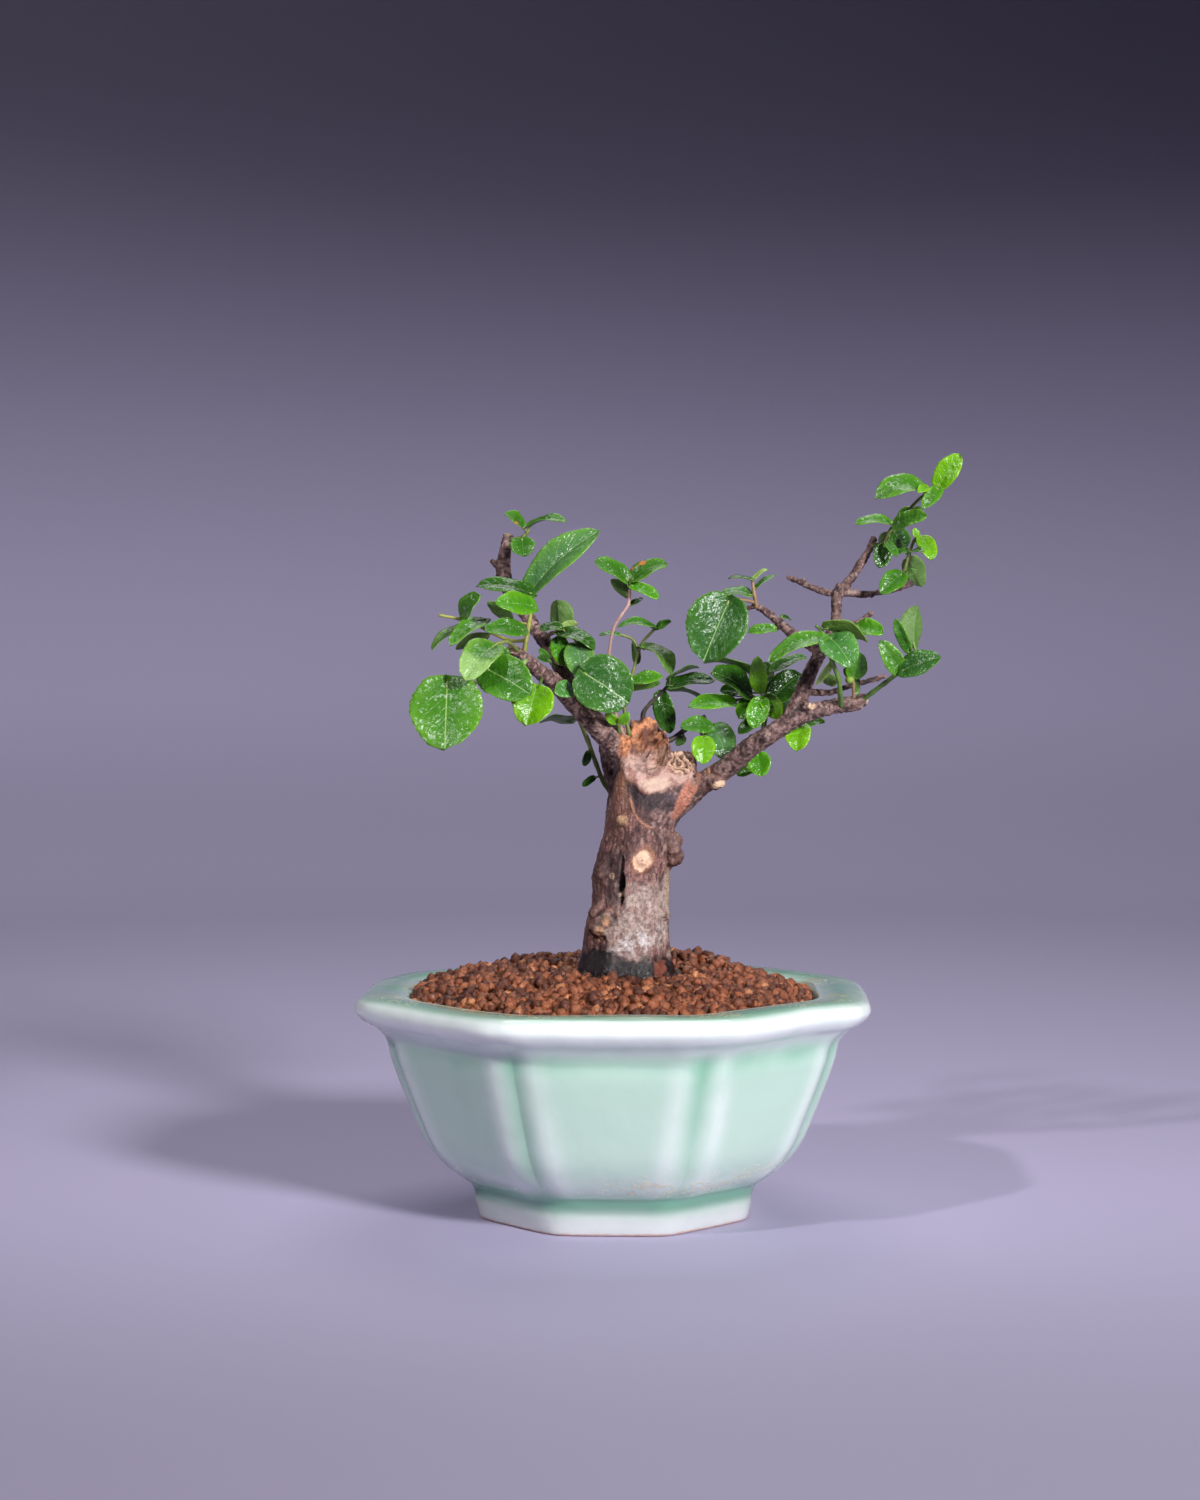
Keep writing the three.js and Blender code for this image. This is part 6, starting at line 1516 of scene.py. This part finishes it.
def add_stem(skin, places, tone):
    rows = branch_rows(places)
    # small swellings where leaves have grown
    swell = 1 + 0.16 * np.exp(-((np.arange(len(rows)) % BRANCH_STEPS) / 1.1) ** 2)
    green = colour(*STEM_TONES[tone])
    tints = blend(green * 0.8, green * 1.08, np.linspace(0, 1, len(rows)))
    add_tube(skin, rows[:, :3], rows[:, 3] * 0.92 * swell, STEM_SIDES, tints)


def add_stalk(skin, root, base, along, width, tone):
    bend = root + (base - root) * 0.55 - along * 0.06 * np.linalg.norm(base - root)
    rows = eased([root, bend, base, base + along * 0.06 * width], 4)
    thick = 0.3 + 0.012 * width
    radii = np.linspace(thick, thick * 0.8, len(rows))
    radii[0] *= 1.35
    tints = blend(colour(*STEM_TONES[tone]), colour(*LEAFY_GREEN), np.linspace(0, 1, len(rows)))
    add_tube(skin, rows, radii, STALK_SIDES, tints)


def add_berry(skin, place, radius):
    points, faces = ball(place, radius)
    bent = points + (cloud(points, 1.2, 7)[:, None] - 0.5) * 0.2
    skin.add(bent, faces, 1, tint=np.tile(colour(*BERRY_GREEN), (len(points), 1)))


def make_shoot(number, finishes, name, slot, tone, stems, leaves, *berries):
    skin = Skin()
    for places in stems:
        add_stem(skin, places, tone)
    for i, (base, tip, width, *form) in enumerate(leaves):
        base, tip = in_depth(base), in_depth(tip)
        along = unit(tip - base)
        add_stalk(skin, stalk_root(base, along, stems), base, along, width, tone)
        add_blade(skin, base, tip, width, *form, number * 13 + i)
    for *place, radius in berries:
        add_berry(skin, place, radius)
    label = "shoot" + name[name.index("_"):]
    return piece(label, skin.mesh(label, finishes), slot, name)


def leaf_finish():
    f = Finish("leaf")
    tint = f.tint("tint")
    under = f.mark("under")
    # broad and fine variation of the green
    body = f.mix(f.spread(f.noise(5, 3), 0.35, 0.7, 0.0, 0.45), tint, (0.55, 0.72, 0.6), "MULTIPLY")
    body = f.mix(f.spread(f.noise(0.5, 3), 0.4, 0.8, 0.0, 0.3), body, (0.7, 0.85, 0.6), "MULTIPLY")
    body = f.mix(f.times(under, 0.3), body, colour(104, 132, 68))
    # side veins and midrib
    swing = f.maths("PINGPONG", f.mark("vein"), 0.5)
    side = f.times(f.spread(swing, 0.07, 0.0), f.spread(f.mark("edge"), 0.95, 0.5))
    body = f.mix(f.times(side, 0.16), body, f.mix(0.55, tint, colour(196, 216, 140)))
    rib_width = f.times(f.mark("span"), 0.012)
    rib = f.spread(f.maths("SUBTRACT", f.mark("rib"), rib_width), 0.12, -0.02)
    body = f.mix(f.times(rib, f.spread(f.mark("span"), 2.0, 9.0, 0.1, 0.5)), body, colour(178, 206, 128))
    # a thin pale edge
    body = f.mix(f.spread(f.mark("edge"), 0.95, 1.0, 0.0, 0.3), body, colour(150, 186, 74))
    # dried water spots, on the upper face
    bent = f.plus(f.cells(1.7), f.spread(f.noise(0.7, 2), 0.2, 0.8, -0.12, 0.12))
    spot = f.times(f.spread(bent, 0.3, 0.16), f.spread(f.noise(3.1, 2), 0.5, 0.58))
    far = f.plus(f.cells(3.6), f.spread(f.noise(1.1, 2), 0.2, 0.8, -0.07, 0.07))
    ring = f.times(f.spread(far, 0.2, 0.26), f.spread(far, 0.34, 0.28))
    ring = f.times(ring, f.spread(f.noise(2, 3), 0.48, 0.6))
    spot = f.maths("MAXIMUM", f.times(spot, 0.6), f.times(ring, 0.5))
    smear = f.times(f.spread(f.noise(1.3, 6, 0.75), 0.56, 0.7), f.spread(f.noise(6, 2), 0.42, 0.6, 0.1, 0.8))
    white = f.times(f.maths("MAXIMUM", spot, smear), f.mark("spots"))
    white = f.times(white, f.spread(under, 0.4, 0.6, 0.6, 0.08))
    body = f.mix(white, body, colour(214, 232, 214))
    spoilt = f.plus(f.mark("blotch"), f.spread(f.noise(1.6, 3), 0.3, 0.7, -0.35, 0.2))
    body = f.mix(f.spread(spoilt, 0.3, 0.42, 0.0, 0.8), body, colour(92, 62, 26))
    body = f.mix(f.spread(spoilt, 0.44, 0.56, 0.0, 0.9), body, colour(186, 122, 66))
    shine = f.spread(f.mark("gloss"), 0.0, 1.0, 0.44, 0.16)
    rough = f.plus(shine, f.plus(f.times(under, 0.18), f.times(white, 0.2)))
    normal = f.relief(f.noise(2.8, 3), 0.8)
    height = f.plus(f.times(side, -0.5), f.times(f.noise(0.5, 3, 0.6), 0.5))
    return f.done(Base_Color=body, Roughness=rough, Normal=f.relief(height, 0.12, normal), IOR=1.48)


def stem_finish():
    f = Finish("green stem")
    grime = f.spread(f.noise(0.8, 4), 0.35, 0.75, 0.0, 0.6)
    body = f.mix(grime, f.tint("tint"), (0.55, 0.5, 0.42), "MULTIPLY")
    body = f.mix(f.spread(f.noise(0.4, 2), 0.66, 0.74, 0.0, 0.4), body, colour(206, 200, 160))
    rough = f.spread(f.noise(1.0), 0.3, 0.7, 0.4, 0.62)
    return f.done(Base_Color=body, Roughness=rough, Normal=f.relief(f.noise(0.4, 3), 0.08))


# The studio

# The floor and the backdrop it rises into, in metres: reach and height
FLOOR_PROFILE = [
    (0.02, 0), (0.4, 0), (0.85, 0), (1.15, 0.03), (1.5, 0.2), (1.8, 0.65), (1.95, 1.4), (2.0, 2.3),
]
FLOOR_SIDES = 96


def floor_finish():
    f = Finish("pale floor")
    # painted shade: darker in front, low down and high up the backdrop, where less light falls
    place = f.places()
    front = f.spread(place["Y"], -0.26, 0.06, 0.6, 1.0)
    low = f.spread(place["Z"], 0.02, 0.16, 0.8, 1.0)
    high = f.spread(place["Z"], 0.2, 0.8, 1.0, 0.35)
    body = f.mix(f.noise(900, 2), colour(198, 189, 222), colour(206, 197, 230))
    body = f.mix(f.times(front, f.times(low, high)), (0, 0, 0), body)
    return f.done(Base_Color=body, Roughness=0.7, Normal=f.relief(f.noise(2.2, 3), 0.04))


def make_stage():
    turn = np.arange(FLOOR_SIDES) / FLOOR_SIDES * 2 * math.pi
    rings = [np.column_stack([np.cos(turn) * reach, np.sin(turn) * reach, np.full(FLOOR_SIDES, max(rise, 0))])
             for reach, rise in eased(FLOOR_PROFILE, 5)]
    faces = ring_faces(len(rings), FLOOR_SIDES)
    faces.append(tuple(range(FLOOR_SIDES)))
    made = bpy.data.meshes.new("floor")
    made.from_pydata(np.vstack(rings).tolist(), [], faces)
    made.materials.append(floor_finish())
    made.polygons.foreach_set("use_smooth", [True] * len(faces))
    floor = in_scene("floor", made)


def soft_light(name, place, size, power, beam):
    lamp = bpy.data.lights.new(name, "AREA")
    lamp.shape = "DISK"
    lamp.size = size
    lamp.energy = power
    lamp.spread = math.radians(beam)
    made = in_scene(name, lamp)
    made.location = place
    aim = Vector(LIGHTS_AIM) - Vector(place)
    made.rotation_euler = aim.to_track_quat("-Z", "Y").to_euler()
    made.visible_camera = False


def make_studio():
    scene = bpy.context.scene
    world = bpy.data.worlds.new("studio")
    world.use_nodes = True
    room = world.node_tree.nodes["Background"].inputs
    room["Color"].default_value = ROOM_TINT
    room["Strength"].default_value = ROOM_GLOW
    scene.world = world
    scene.view_settings.view_transform = "Standard"
    for name, light in LIGHTS.items():
        soft_light(name, *light)
    lens = bpy.data.cameras.new("camera")
    lens.lens = CAMERA_LENS
    lens.sensor_width = 36
    lens.sensor_fit = "AUTO"
    lens.clip_start = 0.05
    camera = in_scene("camera", lens)
    camera.location = Vector((EYE + AXIS) * MM)
    camera.rotation_euler = (math.radians(90 - CAMERA_DIP), 0, 0)
    scene.camera = camera


make_studio()
make_stage()
make_pot(celadon_finish())
make_soil(clay_finish())
make_wood(bark_finish())
shoot_finishes = [leaf_finish(), stem_finish()]
for number, shoot in enumerate(SHOOTS):
    make_shoot(number, shoot_finishes, *shoot)
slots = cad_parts["drain_screen"].data.materials
slots.clear()
slots.append(screen_finish())
